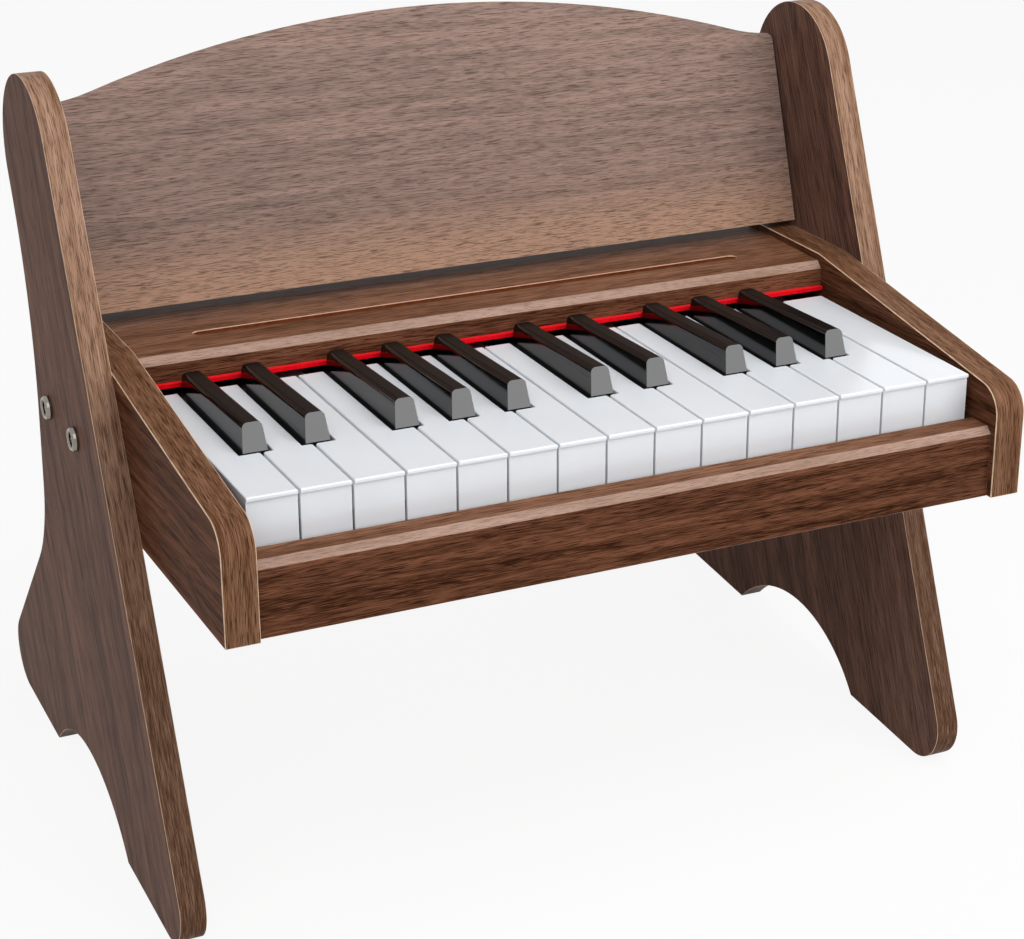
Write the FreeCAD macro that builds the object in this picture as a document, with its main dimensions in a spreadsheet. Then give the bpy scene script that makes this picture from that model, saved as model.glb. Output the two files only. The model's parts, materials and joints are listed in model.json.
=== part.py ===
import FreeCAD
import Part
import Sketcher
import math
import os
import re

# A small wooden-cased electronic piano for children: two leaning leg boards carry a tilted key case
# with twenty-five full-width keys and a leaning back panel.
# World frame: +X to the player's right, +Y away from the player, +Z up, feet on Z = 0.
# Case frame: origin on the front top edge of the white keys, pitched so that the front stands higher.

doc = FreeCAD.newDocument("toy_piano")
sheet = doc.addObject("Spreadsheet::Sheet", "sizes")

OCTAVES = 2
WHITE_KEYS = 7 * OCTAVES + 1
X_AXIS = FreeCAD.Vector(1, 0, 0)
Z_AXIS = FreeCAD.Vector(0, 0, 1)

# Driving dimensions: alias, value in millimetres or degrees, what it sizes
DIMENSIONS = (
    ("case_pitch", 4.5, "tilt of the key case, front up"),
    ("key_drop", 116.2, "key tops at their front, below the leg tops"),
    ("key_pitch", 23.0, "white key spacing"),
    ("key_gap", 1.1, "gap between neighbouring keys"),
    ("white_length", 127.0, "white key top, front to back"),
    ("white_skirt", 14.0, "side wall of a key"),
    ("white_apron", 24.0, "front wall of a white key"),
    ("key_wall", 1.8, "moulded key wall"),
    ("key_top_wall", 2.2, "moulded key top"),
    ("hollow_margin", 3.5, "end of the hollow under a key to its down stop"),
    ("lip_overhang", 1.0, "white key lip past its front wall"),
    ("lip_thick", 1.7, "white key lip"),
    ("key_edge", 0.7, "rounding of a white key's top edges"),
    ("black_width", 11.0, "black key at the white key tops"),
    ("black_top_width", 8.4, "black key along its top"),
    ("black_front", 45.3, "front of a black key behind the white fronts"),
    ("black_height", 12.2, "black key at its front, above the white tops"),
    ("black_rear_height", 8.6, "black key at its back, above the white tops"),
    ("black_rake", 3.2, "lean of a black key's front"),
    ("black_overrun", 1.2, "black keys past the back of the white tops"),
    ("black_edge", 2.4, "rounding along a black key's top"),
    ("notch_gap", 1.0, "white key notch in front of a black key"),
    ("notch_round", 1.4, "rounded corner beside a white key's notch"),
    ("tail_width", 9.0, "key tail"),
    ("tail_drop", 8.0, "key tail's top below the white tops"),
    ("tail_height", 12.0, "key tail"),
    ("tail_reach", 13.0, "key tails past the pivot rod"),
    ("tail_gap", 3.0, "key tails to the rear board"),
    ("pivot_reach", 51.0, "pivot rod behind the white tops"),
    ("rod_diameter", 4.0, "pivot rod"),
    ("rod_clearance", 0.05, "radial clearance on the pivot rod"),
    ("key_swing", 3.2, "swing of a key, degrees"),
    ("stop_clearance", 0.3, "key to its stops"),
    ("felt_thick", 2.0, "stop felts"),
    ("cheek_clearance", 2.5, "cheeks to the end keys"),
    ("cheek_thick", 15.0, "cheek board"),
    ("cheek_reach", 20.5, "cheeks in front of the key fronts"),
    ("case_bottom", 54.5, "underside of the case below the white tops"),
    ("cheek_top", 18.6, "cheeks beside the top board, above the white tops"),
    ("knee_offset", 2.6, "where the cheek's slope begins, behind the top board's front"),
    ("cheek_slope", 8.2, "slope of the cheek's top, degrees"),
    ("cheek_nose", 14.0, "rounding of the cheek's front corner"),
    ("slip_front", 17.0, "key slip in front of the key fronts"),
    ("slip_thick", 15.0, "key slip board"),
    ("slip_drop", 21.2, "key slip's top below the white tops"),
    ("slip_chamfer", 3.0, "key slip's front edge"),
    ("board_gap", 6.4, "white tops to the top board"),
    ("board_top", 15.2, "top board above the white tops"),
    ("board_thick", 12.0, "top board"),
    ("board_chamfer", 3.5, "top board's front edge"),
    ("groove_offset", 25.6, "music groove behind the top board's front"),
    ("groove_inset", 34.0, "ends of the music groove to the cheeks"),
    ("groove_width", 6.0, "half-round music groove"),
    ("felt_proud", 2.7, "red felt in front of the top board"),
    ("felt_depth", 18.0, "red felt, front to back"),
    ("red_felt_thick", 1.8, "red felt"),
    ("rear_thick", 12.0, "rear board"),
    ("rear_drop", 0.8, "rear board's top below the top board's"),
    ("base_thick", 4.0, "bottom board"),
    ("rebate", 6.0, "rebate that takes the bottom board"),
    ("leg_thick", 12.0, "leg board"),
    ("leg_lean", 27.35, "lean of the leg's front edge, degrees"),
    ("leg_width", 75.0, "leg across its top"),
    ("leg_height", 342.0, "leg"),
    ("leg_inset", 89.2, "leg's front edge at the key tops' level, to the back of the case"),
    ("waist_rise", 8.2, "corner of the leg's back edge above the key tops"),
    ("foot_share", 0.89, "length between the leg's outer corners on the floor, per height"),
    ("leg_flare", 40.4, "lean of the back foot, degrees"),
    ("waist_share", 0.92, "upper curve of the leg's back edge, of the room it has"),
    ("flare_radius", 75.0, "lower curve of the leg's back edge"),
    ("foot_radius", 19.0, "rounded toes of the leg"),
    ("arch_share", 0.492, "middle of the arch, of the length between the leg's corners"),
    ("arch_half", 58.5, "half the width of the arch"),
    ("arch_rise", 26.9, "height of the arch"),
    ("bolt_inset", 25.2, "front leg bolt behind the leg's front edge at the key tops' level"),
    ("bolt_spacing", 44.0, "leg bolts"),
    ("bolt_drop", 19.6, "leg bolts below the white tops"),
    ("bolt_diameter", 6.0, "leg bolt"),
    ("bolt_hole", 6.4, "hole for a leg bolt"),
    ("bolt_head", 11.2, "leg bolt head"),
    ("bolt_head_rise", 3.2, "leg bolt head"),
    ("insert_diameter", 9.0, "threaded insert"),
    ("insert_length", 12.0, "threaded insert"),
    ("panel_thick", 12.0, "back panel"),
    ("panel_lean", 22.9, "lean of the back panel, degrees"),
    ("panel_inset", 22.2, "foot of the back panel to the back of the case"),
    ("panel_rise", 7.8, "foot of the back panel above the key tops"),
    ("panel_end", 95.5, "back panel at its ends, along its slope"),
    ("panel_crown", 29.0, "back panel's middle above its ends, along its slope"),
    ("panel_sweep", 80.0, "hollow curve at the ends of the back panel's top"),
    ("dowel_diameter", 8.0, "wooden dowel"),
    ("dowel_length", 26.0, "wooden dowel"),
    ("dowel_clearance", 0.05, "radial clearance on a dowel"),
    ("frame_lead", 11.5, "key frame in front of the down stop"),
    ("frame_floor", 40.0, "underside of the key frame below the white tops"),
    ("frame_plate", 3.0, "key frame's plate"),
    ("rib_thick", 2.4, "bearing ribs of the key frame"),
    ("stop_gap", 3.0, "down stop to the contact board"),
    ("stop_depth", 9.0, "down stop, front to back"),
    ("contact_margin", 2.5, "contact board to the back of the white tops"),
    ("contact_depth", 13.0, "contact board, front to back"),
    ("circuit_thick", 1.6, "circuit boards"),
    ("dome_rise", 4.0, "rubber dome above its strip"),
    ("dome_strip", 1.2, "rubber strip"),
    ("dome_width", 8.0, "rubber dome"),
    ("speaker_share", -0.543, "speaker from the middle, of half the clear width"),
    ("speaker_diameter", 66.0, "speaker basket"),
    ("speaker_height", 20.0, "speaker"),
    ("battery_share", 0.429, "battery box from the middle, of half the clear width"),
    ("cell_diameter", 14.2, "battery cell"),
    ("cell_length", 50.0, "battery cell"),
    ("box_wall", 1.8, "battery box wall"),
    ("door_clearance", 0.4, "battery door in its opening"),
    ("main_board_x", -5.0, "main board from the middle"),
    ("main_board_width", 62.0, "main board"),
    ("main_board_depth", 44.0, "main board"),
    ("main_board_rise", 6.0, "main board above the bottom board"),
    ("switch_share", 0.8, "switch from the middle, of half the clear width"),
    ("switch_travel", 8.0, "switch"),
    ("knob_length", 5.0, "switch knob"),
    ("knob_width", 4.0, "switch knob"),
    ("knob_clearance", 0.4, "switch knob in its slot"),
)
ALIASES = {alias for alias, number, note in DIMENSIONS}
for row, (alias, number, note) in enumerate(DIMENSIONS, 1):
    sheet.set(f"A{row}", note)
    sheet.set(f"B{row}", str(number))
    sheet.setAlias(f"B{row}", alias)
doc.recompute()

# Places worked out from the driving dimensions, measured from the key fronts unless they say otherwise
DERIVED = {
    "cheek_inner": f"{WHITE_KEYS / 2} * key_pitch + cheek_clearance",
    "pivot_y": "white_length + pivot_reach",
    "tail_end": "pivot_y + tail_reach",
    "cheek_rear": "tail_end + tail_gap + rear_thick",
    "black_length": "white_length + black_overrun - black_front",
    "board_front": "white_length + board_gap",
    "felt_front": "board_front - felt_proud",
    "cheek_knee": "board_front + knee_offset",
    "groove_y": "board_front + groove_offset",
    "groove_length": "2 * (cheek_inner - groove_inset)",
    "contact_y": "white_length - contact_margin - contact_depth / 2",
    "stop_y": "contact_y - contact_depth / 2 - stop_gap - stop_depth / 2",
    "frame_front": "stop_y - stop_depth / 2 - frame_lead",
    "key_hollow_end": "stop_y - stop_depth / 2 - hollow_margin",
    "room_y": "(frame_front + slip_thick - slip_front) / 2",
    "speaker_x": "speaker_share * cheek_inner",
    "battery_x": "battery_share * cheek_inner",
    "switch_x": "switch_share * cheek_inner",
    "key_front_z": "leg_height - key_drop",
    "leg_cross": "cheek_rear - leg_inset",
    "toe_y": "leg_cross - key_front_z * tan(leg_lean)",
    "foot_span": "foot_share * leg_height",
    "leg_heel": "toe_y + foot_span",
    "arch_y": "toe_y + arch_share * foot_span",
    "waist_z": "key_front_z + waist_rise",
    "leg_waist": "leg_cross + waist_rise * tan(leg_lean) + leg_width / cos(leg_lean)",
    "flare_z": "(leg_heel - leg_waist) / tan(leg_flare)",
    "bolt_y": "leg_cross + bolt_inset",
    "panel_y": "cheek_rear - panel_inset",
    "panel_z": "key_front_z + panel_rise",
    "panel_apex": "panel_end + panel_crown",
    "case_nose": "cheek_reach * cos(case_pitch) + case_bottom * sin(case_pitch)",
    "heel_back": "leg_heel + foot_radius * (1 - tan(leg_flare) - 1 / cos(leg_flare))",
    "key_front_y": "(case_nose - heel_back) / 2",
}

LEG_INNER = "(cheek_inner + cheek_thick)"
LEG_OUTER = f"({LEG_INNER} + leg_thick)"
SLIP_BACK = "(slip_thick - slip_front)"
REAR_FRONT = "(cheek_rear - rear_thick)"
BASE_TOP = "(base_thick - case_bottom)"
BOARD_UNDER = "(board_top - board_thick)"
FRAME_TOP = "(frame_plate - frame_floor)"
TAIL_BOTTOM = "(0 - tail_drop - tail_height)"
PIVOT_Z = "(0 - tail_drop - tail_height / 2)"
STOP_TOP = "(0 - white_skirt - (pivot_y - stop_y + stop_depth / 2) * sin(key_swing) - stop_clearance)"
DOME_TOP = "(0 - white_skirt - stop_clearance)"
CIRCUIT_TOP = f"({DOME_TOP} - dome_rise - dome_strip)"
REST_TOP = f"({TAIL_BOTTOM} - stop_clearance)"
REST_FRONT = "(tail_end - 6 * felt_thick / 2)"
BOX_WIDTH = "(cell_length + 8 * box_wall)"
BOX_DEPTH = "(4 * cell_diameter + 5 * box_wall)"
BOX_HEIGHT = "(cell_diameter + 2 * box_wall)"


def full(expression):
    """The expression on the sheet's own cells, with each derived name worked out."""
    def expand(match):
        word = match[0]
        if word in DERIVED:
            return "(" + full(DERIVED[word]) + ")"
        return "sizes." + word if word in ALIASES else word

    return re.sub(r"[a-z_][a-z_0-9]*", expand, expression)


def value(expression):
    """The expression's present value."""
    return float(sheet.evalExpression(full(expression)))


def case_placement():
    """Place of the tilted key case in the world."""
    base = FreeCAD.Vector(0, value("key_front_y"), value("key_front_z"))
    return FreeCAD.Placement(base, FreeCAD.Rotation(X_AXIS, -value("case_pitch")))


def in_world(y, z):
    """A point of the case's side view in the legs' side view, as two expressions."""
    across = f"(({y}) * cos(case_pitch) + ({z}) * sin(case_pitch))"
    above = f"(key_front_z - ({y}) * sin(case_pitch) + ({z}) * cos(case_pitch))"
    return across, above


def add_body(label):
    """An empty body that stands in the case's frame."""
    body = doc.addObject("PartDesign::Body", label)
    body.Label = label
    body.Placement = case_placement()
    return body


def add_sketch(body, role, offset):
    """A sketch on one of the body's own planes, moved along the plane's normal."""
    sketch = body.newObject("Sketcher::SketchObject", body.Label + "_sketch")
    plane = next(item for item in body.Origin.OriginFeatures if item.Role == role)
    sketch.AttachmentSupport = [(plane, "")]
    sketch.MapMode = "FlatFace"
    sketch.setExpression(".AttachmentOffset.Base.z", full(offset))
    return sketch


def hold_point(sketch, geometry, point, corner):
    """Ties one point of a sketch to two expressions."""
    for kind, expression in zip(("DistanceX", "DistanceY"), corner):
        rule = Sketcher.Constraint(kind, -1, 1, geometry, point, value(expression))
        index = sketch.addConstraint(rule)
        sketch.setExpression(f"Constraints[{index}]", full(expression))


def draw_polygon(sketch, corners):
    """A closed outline with straight sides."""
    points = [FreeCAD.Vector(value(across), value(up), 0) for across, up in corners]
    first = sketch.GeometryCount
    count = len(points)
    for index, point in enumerate(points):
        sketch.addGeometry(Part.LineSegment(point, points[(index + 1) % count]), False)
    for index in range(count):
        following = first + (index + 1) % count
        sketch.addConstraint(Sketcher.Constraint("Coincident", first + index, 2, following, 1))
    for index, corner in enumerate(corners):
        hold_point(sketch, first + index, 1, corner)


def draw_rectangle(sketch, left, right, low, high):
    """A rectangle between four expressions."""
    draw_polygon(sketch, ((left, low), (right, low), (right, high), (left, high)))


def draw_circle(sketch, across, up, radius):
    """A circle about a held centre."""
    centre = FreeCAD.Vector(value(across), value(up), 0)
    index = sketch.addGeometry(Part.Circle(centre, Z_AXIS, value(radius)), False)
    hold_point(sketch, index, 3, (across, up))
    rule = sketch.addConstraint(Sketcher.Constraint("Radius", index, value(radius)))
    sketch.setExpression(f"Constraints[{rule}]", full(radius))


def pad(body, sketch, length):
    """Adds the sketch's outline along its normal."""
    feature = body.newObject("PartDesign::Pad", body.Label + "_pad")
    feature.Profile = sketch
    feature.setExpression("Length", full(length))
    return feature


def pocket(body, sketch, length):
    """Cuts the sketch's outline along its normal, and makes sure that the cut met the solid."""
    doc.recompute()
    before = body.Tip.Shape.Volume
    feature = body.newObject("PartDesign::Pocket", body.Label + "_pocket")
    feature.Profile = sketch
    feature.Reversed = True
    feature.setExpression("Length", full(length))
    doc.recompute()
    if feature.Shape.Volume > before - 0.01:
        raise RuntimeError(f"{body.Label}: a pocket cuts nothing")
    return feature


def add_block(body, x_low, x_high, y_low, y_high, z_low, z_high):
    """Adds a block between six expressions."""
    sketch = add_sketch(body, "XY_Plane", z_low)
    draw_rectangle(sketch, x_low, x_high, y_low, y_high)
    return pad(body, sketch, f"({z_high}) - ({z_low})")


def cut_block(body, x_low, x_high, y_low, y_high, z_low, z_high):
    """Cuts a block between six expressions."""
    sketch = add_sketch(body, "XY_Plane", z_low)
    draw_rectangle(sketch, x_low, x_high, y_low, y_high)
    return pocket(body, sketch, f"({z_high}) - ({z_low})")


def cut_side_holes(body, x_low, x_high, centres, radius):
    """Cuts round holes along X at points of the side view."""
    sketch = add_sketch(body, "YZ_Plane", x_low)
    for across, up in centres:
        draw_circle(sketch, across, up, radius)
    return pocket(body, sketch, f"({x_high}) - ({x_low})")


def round_edges(body, radius, wanted):
    """Rounds the edges of the body that the test accepts."""
    doc.recompute()
    tip = body.Tip
    names = [f"Edge{i}" for i, edge in enumerate(tip.Shape.Edges, 1) if wanted(edge)]
    feature = body.newObject("PartDesign::Fillet", body.Label + "_fillet")
    feature.Base = (tip, names)
    feature.setExpression("Radius", full(radius))
    doc.recompute()
    return feature


def bevel_edges(body, size, wanted):
    """Chamfers the edges of the body that the test accepts."""
    doc.recompute()
    tip = body.Tip
    names = [f"Edge{i}" for i, edge in enumerate(tip.Shape.Edges, 1) if wanted(edge)]
    feature = body.newObject("PartDesign::Chamfer", body.Label + "_chamfer")
    feature.Base = (tip, names)
    feature.setExpression("Size", full(size))
    doc.recompute()
    return feature


def crosses(edge, across, up):
    """Whether the edge runs along X through a point of the side view."""
    ends = [vertex.Point for vertex in edge.Vertexes]
    if len(ends) < 2 or abs(ends[0].x - ends[1].x) < 0.5:
        return False
    return all(math.hypot(p.y - value(across), p.z - value(up)) < 0.01 for p in ends)


# Two leg boards with a half-round top, an S-shaped back edge and an arch between the feet
LEG_RADIUS = "(leg_width / 2)"
LEG_TOP = f"((leg_height - {LEG_RADIUS} + {LEG_RADIUS} * sin(leg_lean)) / cos(leg_lean) + {LEG_RADIUS})"
TOP_FRONT = (f"toe_y + {LEG_TOP} * sin(leg_lean)", f"{LEG_TOP} * cos(leg_lean)")
TOP_BACK = (
    f"toe_y + {LEG_TOP} * sin(leg_lean) + leg_width * cos(leg_lean)",
    f"{LEG_TOP} * cos(leg_lean) - leg_width * sin(leg_lean)",
)
WAIST = ("leg_waist", "waist_z")
FLARE = ("leg_waist", "flare_z")
TOE = ("toe_y", "0")
HEEL = ("leg_heel", "0")
# Straight stretches beside the waist corner, above and below it, that its curve may take up
WAIST_ABOVE = f"(({TOP_BACK[1]} - waist_z) / cos(leg_lean) - {LEG_RADIUS})"
WAIST_BELOW = "(waist_z - flare_z - flare_radius * tan(leg_flare / 2))"
WAIST_RADIUS = f"waist_share * min({WAIST_ABOVE}; {WAIST_BELOW}) / tan(leg_lean / 2)"
ARCH_RADIUS = "((arch_half ^ 2 + arch_rise ^ 2) / (2 * arch_rise))"
BOLTS = [("bolt_y", "0 - bolt_drop"), ("bolt_y + bolt_spacing", "0 - bolt_drop")]


def on_panel(run, depth):
    """A point of the leaning back panel, along its slope and into its thickness, in the legs' side view."""
    across = f"panel_y + ({run}) * sin(panel_lean) + ({depth}) * cos(panel_lean)"
    above = f"panel_z + ({run}) * cos(panel_lean) - ({depth}) * sin(panel_lean)"
    return across, above


PANEL_DOWELS = [on_panel(f"panel_end * {share} / 4", "panel_thick / 2") for share in (1, 3)]
DOWEL_RADIUS = "(dowel_diameter / 2)"
DOWEL_HOLE = "(dowel_diameter / 2 + dowel_clearance)"
LEG_DOWEL = "(leg_thick * 2 / 3)"


def make_leg(label, side):
    """A leg board, on the left for side -1 and on the right for side 1."""
    body = add_body(label)
    body.Placement = FreeCAD.Placement(FreeCAD.Vector(0, value("key_front_y"), 0), FreeCAD.Rotation())
    low, high = (LEG_INNER, LEG_OUTER) if side > 0 else (f"0 - {LEG_OUTER}", f"0 - {LEG_INNER}")
    outline = add_sketch(body, "YZ_Plane", low)
    draw_polygon(outline, (TOE, HEEL, FLARE, WAIST, TOP_BACK, TOP_FRONT))
    pad(body, outline, "leg_thick")
    arch = ("arch_y", f"arch_rise - {ARCH_RADIUS}")
    cut_side_holes(body, low, high, [arch], ARCH_RADIUS)
    round_edges(body, "foot_radius", lambda edge: crosses(edge, *TOE) or crosses(edge, *HEEL))
    round_edges(body, "flare_radius", lambda edge: crosses(edge, *FLARE))
    round_edges(body, WAIST_RADIUS, lambda edge: crosses(edge, *WAIST))
    tops = (TOP_FRONT, TOP_BACK)
    round_edges(body, f"{LEG_RADIUS} - 0.05", lambda edge: any(crosses(edge, *top) for top in tops))
    cut_side_holes(body, low, high, [in_world(*bolt) for bolt in BOLTS], "bolt_hole / 2")
    inner = (low, f"{low} + {LEG_DOWEL}") if side > 0 else (f"{high} - {LEG_DOWEL}", high)
    cut_side_holes(body, *inner, PANEL_DOWELS, DOWEL_HOLE)
    return body


def make_back_panel():
    """The leaning back panel, whose crowned top runs out into a short hollow curve at each end."""
    half = value(LEG_INNER)
    thick = value("panel_thick")
    lean = math.radians(value("panel_lean"))
    end, apex, sweep = value("panel_end"), value("panel_apex"), value("panel_sweep")
    rise = apex - end
    both_radii = (rise ** 2 + half ** 2) / (2 * rise)
    crown = both_radii - sweep
    meet = FreeCAD.Vector(half * crown / both_radii, 0, 0)
    meet.y = apex - crown + math.sqrt(crown ** 2 - meet.x ** 2)
    turn = math.asin(meet.x / crown) / 2
    bow = FreeCAD.Vector(half - sweep * math.sin(turn), end + sweep - sweep * math.cos(turn), 0)
    corner = FreeCAD.Vector(half, end, 0)

    def mirrored(point):
        return FreeCAD.Vector(-point.x, point.y, 0)

    left_foot, right_foot = FreeCAD.Vector(-half, 0, 0), FreeCAD.Vector(half, 0, 0)
    edges = [
        Part.LineSegment(left_foot, right_foot).toShape(),
        Part.LineSegment(right_foot, corner).toShape(),
        Part.Arc(corner, bow, meet).toShape(),
        Part.Arc(meet, FreeCAD.Vector(0, apex, 0), mirrored(meet)).toShape(),
        Part.Arc(mirrored(meet), mirrored(bow), mirrored(corner)).toShape(),
        Part.LineSegment(mirrored(corner), left_foot).toShape(),
    ]
    blank = Part.Face(Part.Wire(edges)).extrude(FreeCAD.Vector(0, 0, -thick))
    wedge = Part.makePolygon([
        FreeCAD.Vector(-half - 1, 0, 0),
        FreeCAD.Vector(-half - 1, thick * math.tan(lean), -thick),
        FreeCAD.Vector(-half - 1, 0, -thick),
        FreeCAD.Vector(-half - 1, 0, 0),
    ])
    shape = blank.cut(Part.Face(wedge).extrude(FreeCAD.Vector(2 * half + 2, 0, 0)))
    hole_depth = value(f"dowel_length - {LEG_DOWEL}")
    for run in (end / 4, end * 3 / 4):
        for side in (-1, 1):
            mouth = FreeCAD.Vector(side * half, run, -thick / 2)
            hole = Part.makeCylinder(value(DOWEL_HOLE), hole_depth, mouth, FreeCAD.Vector(-side, 0, 0))
            shape = shape.cut(hole)
    panel = doc.addObject("Part::Feature", "back_panel")
    panel.Label = "back_panel"
    panel.Shape = shape
    base = FreeCAD.Vector(0, value("key_front_y + panel_y"), value("panel_z"))
    panel.Placement = FreeCAD.Placement(base, FreeCAD.Rotation(X_AXIS, 90 - value("panel_lean")))
    return panel


# The case: cheeks, key slip, top board, rear board and bottom board
NOSE = ("0 - cheek_reach", "cheek_top - (cheek_knee + cheek_reach) * tan(cheek_slope)")
SLIP_DOWELS = [
    (f"{SLIP_BACK} - slip_thick / 2", "0 - slip_drop - (case_bottom - slip_drop) / 4"),
    (f"{SLIP_BACK} - slip_thick / 2", "0 - slip_drop - (case_bottom - slip_drop) * 2 / 3"),
]
REAR_DOWELS = [
    ("cheek_rear - rear_thick / 2", f"{BOARD_UNDER} - (case_bottom + {BOARD_UNDER}) / 4"),
    ("cheek_rear - rear_thick / 2", f"{BOARD_UNDER} - (case_bottom + {BOARD_UNDER}) * 2 / 3"),
]
BOARD_DOWELS = [
    (f"board_front + ({REAR_FRONT} - board_front) / 4", "board_top - board_thick / 2"),
    (f"board_front + ({REAR_FRONT} - board_front) * 3 / 4", "board_top - board_thick / 2"),
]
CHEEK_DOWEL = "(cheek_thick * 2 / 3)"
BOARD_DOWEL = f"(dowel_length - {CHEEK_DOWEL})"


def make_cheek(label, side):
    """A cheek board that closes one end of the case."""
    body = add_body(label)
    inner, outer = "cheek_inner", LEG_INNER
    low, high = (inner, outer) if side > 0 else (f"0 - {outer}", f"0 - {inner}")
    outline = add_sketch(body, "YZ_Plane", low)
    draw_polygon(outline, (
        ("0 - cheek_reach", "0 - case_bottom"),
        ("cheek_rear", "0 - case_bottom"),
        ("cheek_rear", "cheek_top"),
        ("cheek_knee", "cheek_top"),
        NOSE,
    ))
    pad(body, outline, "cheek_thick")
    round_edges(body, "cheek_nose", lambda edge: crosses(edge, *NOSE))
    depth = (low, f"{low} + {CHEEK_DOWEL}") if side > 0 else (f"{high} - {CHEEK_DOWEL}", high)
    cut_side_holes(body, *depth, SLIP_DOWELS + REAR_DOWELS + BOARD_DOWELS, DOWEL_HOLE)
    seat = (f"{high} - insert_length", high) if side > 0 else (low, f"{low} + insert_length")
    cut_side_holes(body, *seat, BOLTS, "insert_diameter / 2 + dowel_clearance")
    return body


def cut_dowel_holes(body, centres):
    """Cuts the dowel holes in both ends of a board that spans the case."""
    cut_side_holes(body, f"cheek_inner - {BOARD_DOWEL}", "cheek_inner", centres, DOWEL_HOLE)
    cut_side_holes(body, "0 - cheek_inner", f"{BOARD_DOWEL} - cheek_inner", centres, DOWEL_HOLE)


def make_span(label, corners):
    """A board between the cheeks, drawn in the side view."""
    body = add_body(label)
    outline = add_sketch(body, "YZ_Plane", "0 - cheek_inner")
    draw_polygon(outline, corners)
    pad(body, outline, "2 * cheek_inner")
    return body


def make_key_slip():
    """The board in front of the keys, bevelled along its top front edge and rebated for the bottom board."""
    front, back = "(0 - slip_front)", SLIP_BACK
    body = make_span("key_slip", (
        (front, "0 - case_bottom"),
        (f"{back} - rebate", "0 - case_bottom"),
        (f"{back} - rebate", BASE_TOP),
        (back, BASE_TOP),
        (back, "0 - slip_drop"),
        (front, "0 - slip_drop"),
    ))
    bevel_edges(body, "slip_chamfer", lambda edge: crosses(edge, front, "0 - slip_drop"))
    cut_dowel_holes(body, SLIP_DOWELS)
    return body


def make_top_board():
    """The board behind the keys, with a bevelled front edge and a groove that holds a music book."""
    body = make_span("top_board", (
        ("board_front", BOARD_UNDER),
        (REAR_FRONT, BOARD_UNDER),
        (REAR_FRONT, "board_top"),
        ("board_front", "board_top"),
    ))
    bevel_edges(body, "board_chamfer", lambda edge: crosses(edge, "board_front", "board_top"))
    reach = "(groove_length / 2 - groove_width / 2)"
    cut_side_holes(body, f"0 - {reach}", reach, [("groove_y", "board_top")], "groove_width / 2")
    for end in (f"0 - {reach}", reach):
        ball = body.newObject("PartDesign::SubtractiveSphere", "top_board_groove_end")
        ball.setExpression("Radius", full("groove_width / 2"))
        for axis, expression in zip("xyz", (end, "groove_y", "board_top")):
            ball.setExpression(f".Placement.Base.{axis}", full(expression))
    cut_dowel_holes(body, BOARD_DOWELS)
    return body


def make_rear_board():
    """The board that closes the back of the case, rebated for the bottom board."""
    body = make_span("rear_board", (
        (f"{REAR_FRONT} + rebate", "0 - case_bottom"),
        ("cheek_rear", "0 - case_bottom"),
        ("cheek_rear", "board_top - rear_drop"),
        (REAR_FRONT, "board_top - rear_drop"),
        (REAR_FRONT, BASE_TOP),
        (f"{REAR_FRONT} + rebate", BASE_TOP),
    ))
    cut_dowel_holes(body, REAR_DOWELS)
    return body


GRILLE_SLOTS = 7
SLOT_WIDTH = "(speaker_diameter / 18)"
SCREW_X = [f"cheek_inner * {place} / 15" for place in (-12, -4, 4, 12)]
SCREW_Y = (f"{SLIP_BACK} - rebate / 2", f"{REAR_FRONT} + rebate / 2")


def make_bottom_board():
    """The thin bottom board with the speaker slots, the battery opening, the switch slot and screw holes."""
    body = add_body("bottom_board")
    under, top = "(0 - case_bottom)", BASE_TOP
    add_block(body, "0 - cheek_inner", "cheek_inner", f"{SLIP_BACK} - rebate", f"{REAR_FRONT} + rebate",
              under, top)
    slots = add_sketch(body, "XY_Plane", under)
    for slot in range(GRILLE_SLOTS):
        step = f"({slot - GRILLE_SLOTS // 2} * speaker_diameter / 9)"
        reach = f"sqrt((speaker_diameter * 0.42) ^ 2 - {step} ^ 2)"
        middle = f"(speaker_x + {step})"
        draw_rectangle(slots, f"{middle} - {SLOT_WIDTH} / 2", f"{middle} + {SLOT_WIDTH} / 2",
                       f"room_y - {reach}", f"room_y + {reach}")
    pocket(body, slots, "base_thick")
    cut_block(body, f"battery_x - {BOX_WIDTH} / 2 + box_wall", f"battery_x + {BOX_WIDTH} / 2 - box_wall",
              f"room_y - {BOX_DEPTH} / 2 + box_wall", f"room_y + {BOX_DEPTH} / 2 - box_wall",
              under, top)
    cut_block(body, "switch_x - knob_length / 2 - knob_clearance",
              "switch_x + knob_length / 2 + switch_travel + knob_clearance",
              "room_y - knob_width / 2 - knob_clearance", "room_y + knob_width / 2 + knob_clearance",
              under, top)
    holes = add_sketch(body, "XY_Plane", under)
    for x in SCREW_X:
        for y in SCREW_Y:
            draw_circle(holes, x, y, "rebate / 4")
    pocket(body, holes, "base_thick")
    return body


def add_primitive(kind, name, sizes, place):
    """A primitive solid with its sizes tied to the sheet, standing at three expressions."""
    solid = doc.addObject(kind, name)
    for attribute, expression in sizes.items():
        solid.setExpression(attribute, full(expression))
    for axis, expression in zip("xyz", place):
        solid.setExpression(f".Placement.Base.{axis}", full(expression))
    return solid


def add_round(name, radius, length, place, direction):
    """A cylinder from a point along a direction."""
    solid = doc.addObject("Part::Cylinder", name)
    solid.setExpression("Radius", full(radius))
    solid.setExpression("Height", full(length))
    solid.Placement = FreeCAD.Placement(FreeCAD.Vector(), FreeCAD.Rotation(Z_AXIS, direction))
    for axis, expression in zip("xyz", place):
        solid.setExpression(f".Placement.Base.{axis}", full(expression))
    return solid


def group(label, solids):
    """Separate like solids in one node that stands in the case's frame."""
    compound = doc.addObject("Part::Compound", label)
    compound.Label = label
    compound.Links = solids
    compound.Placement = case_placement()
    return compound


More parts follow.
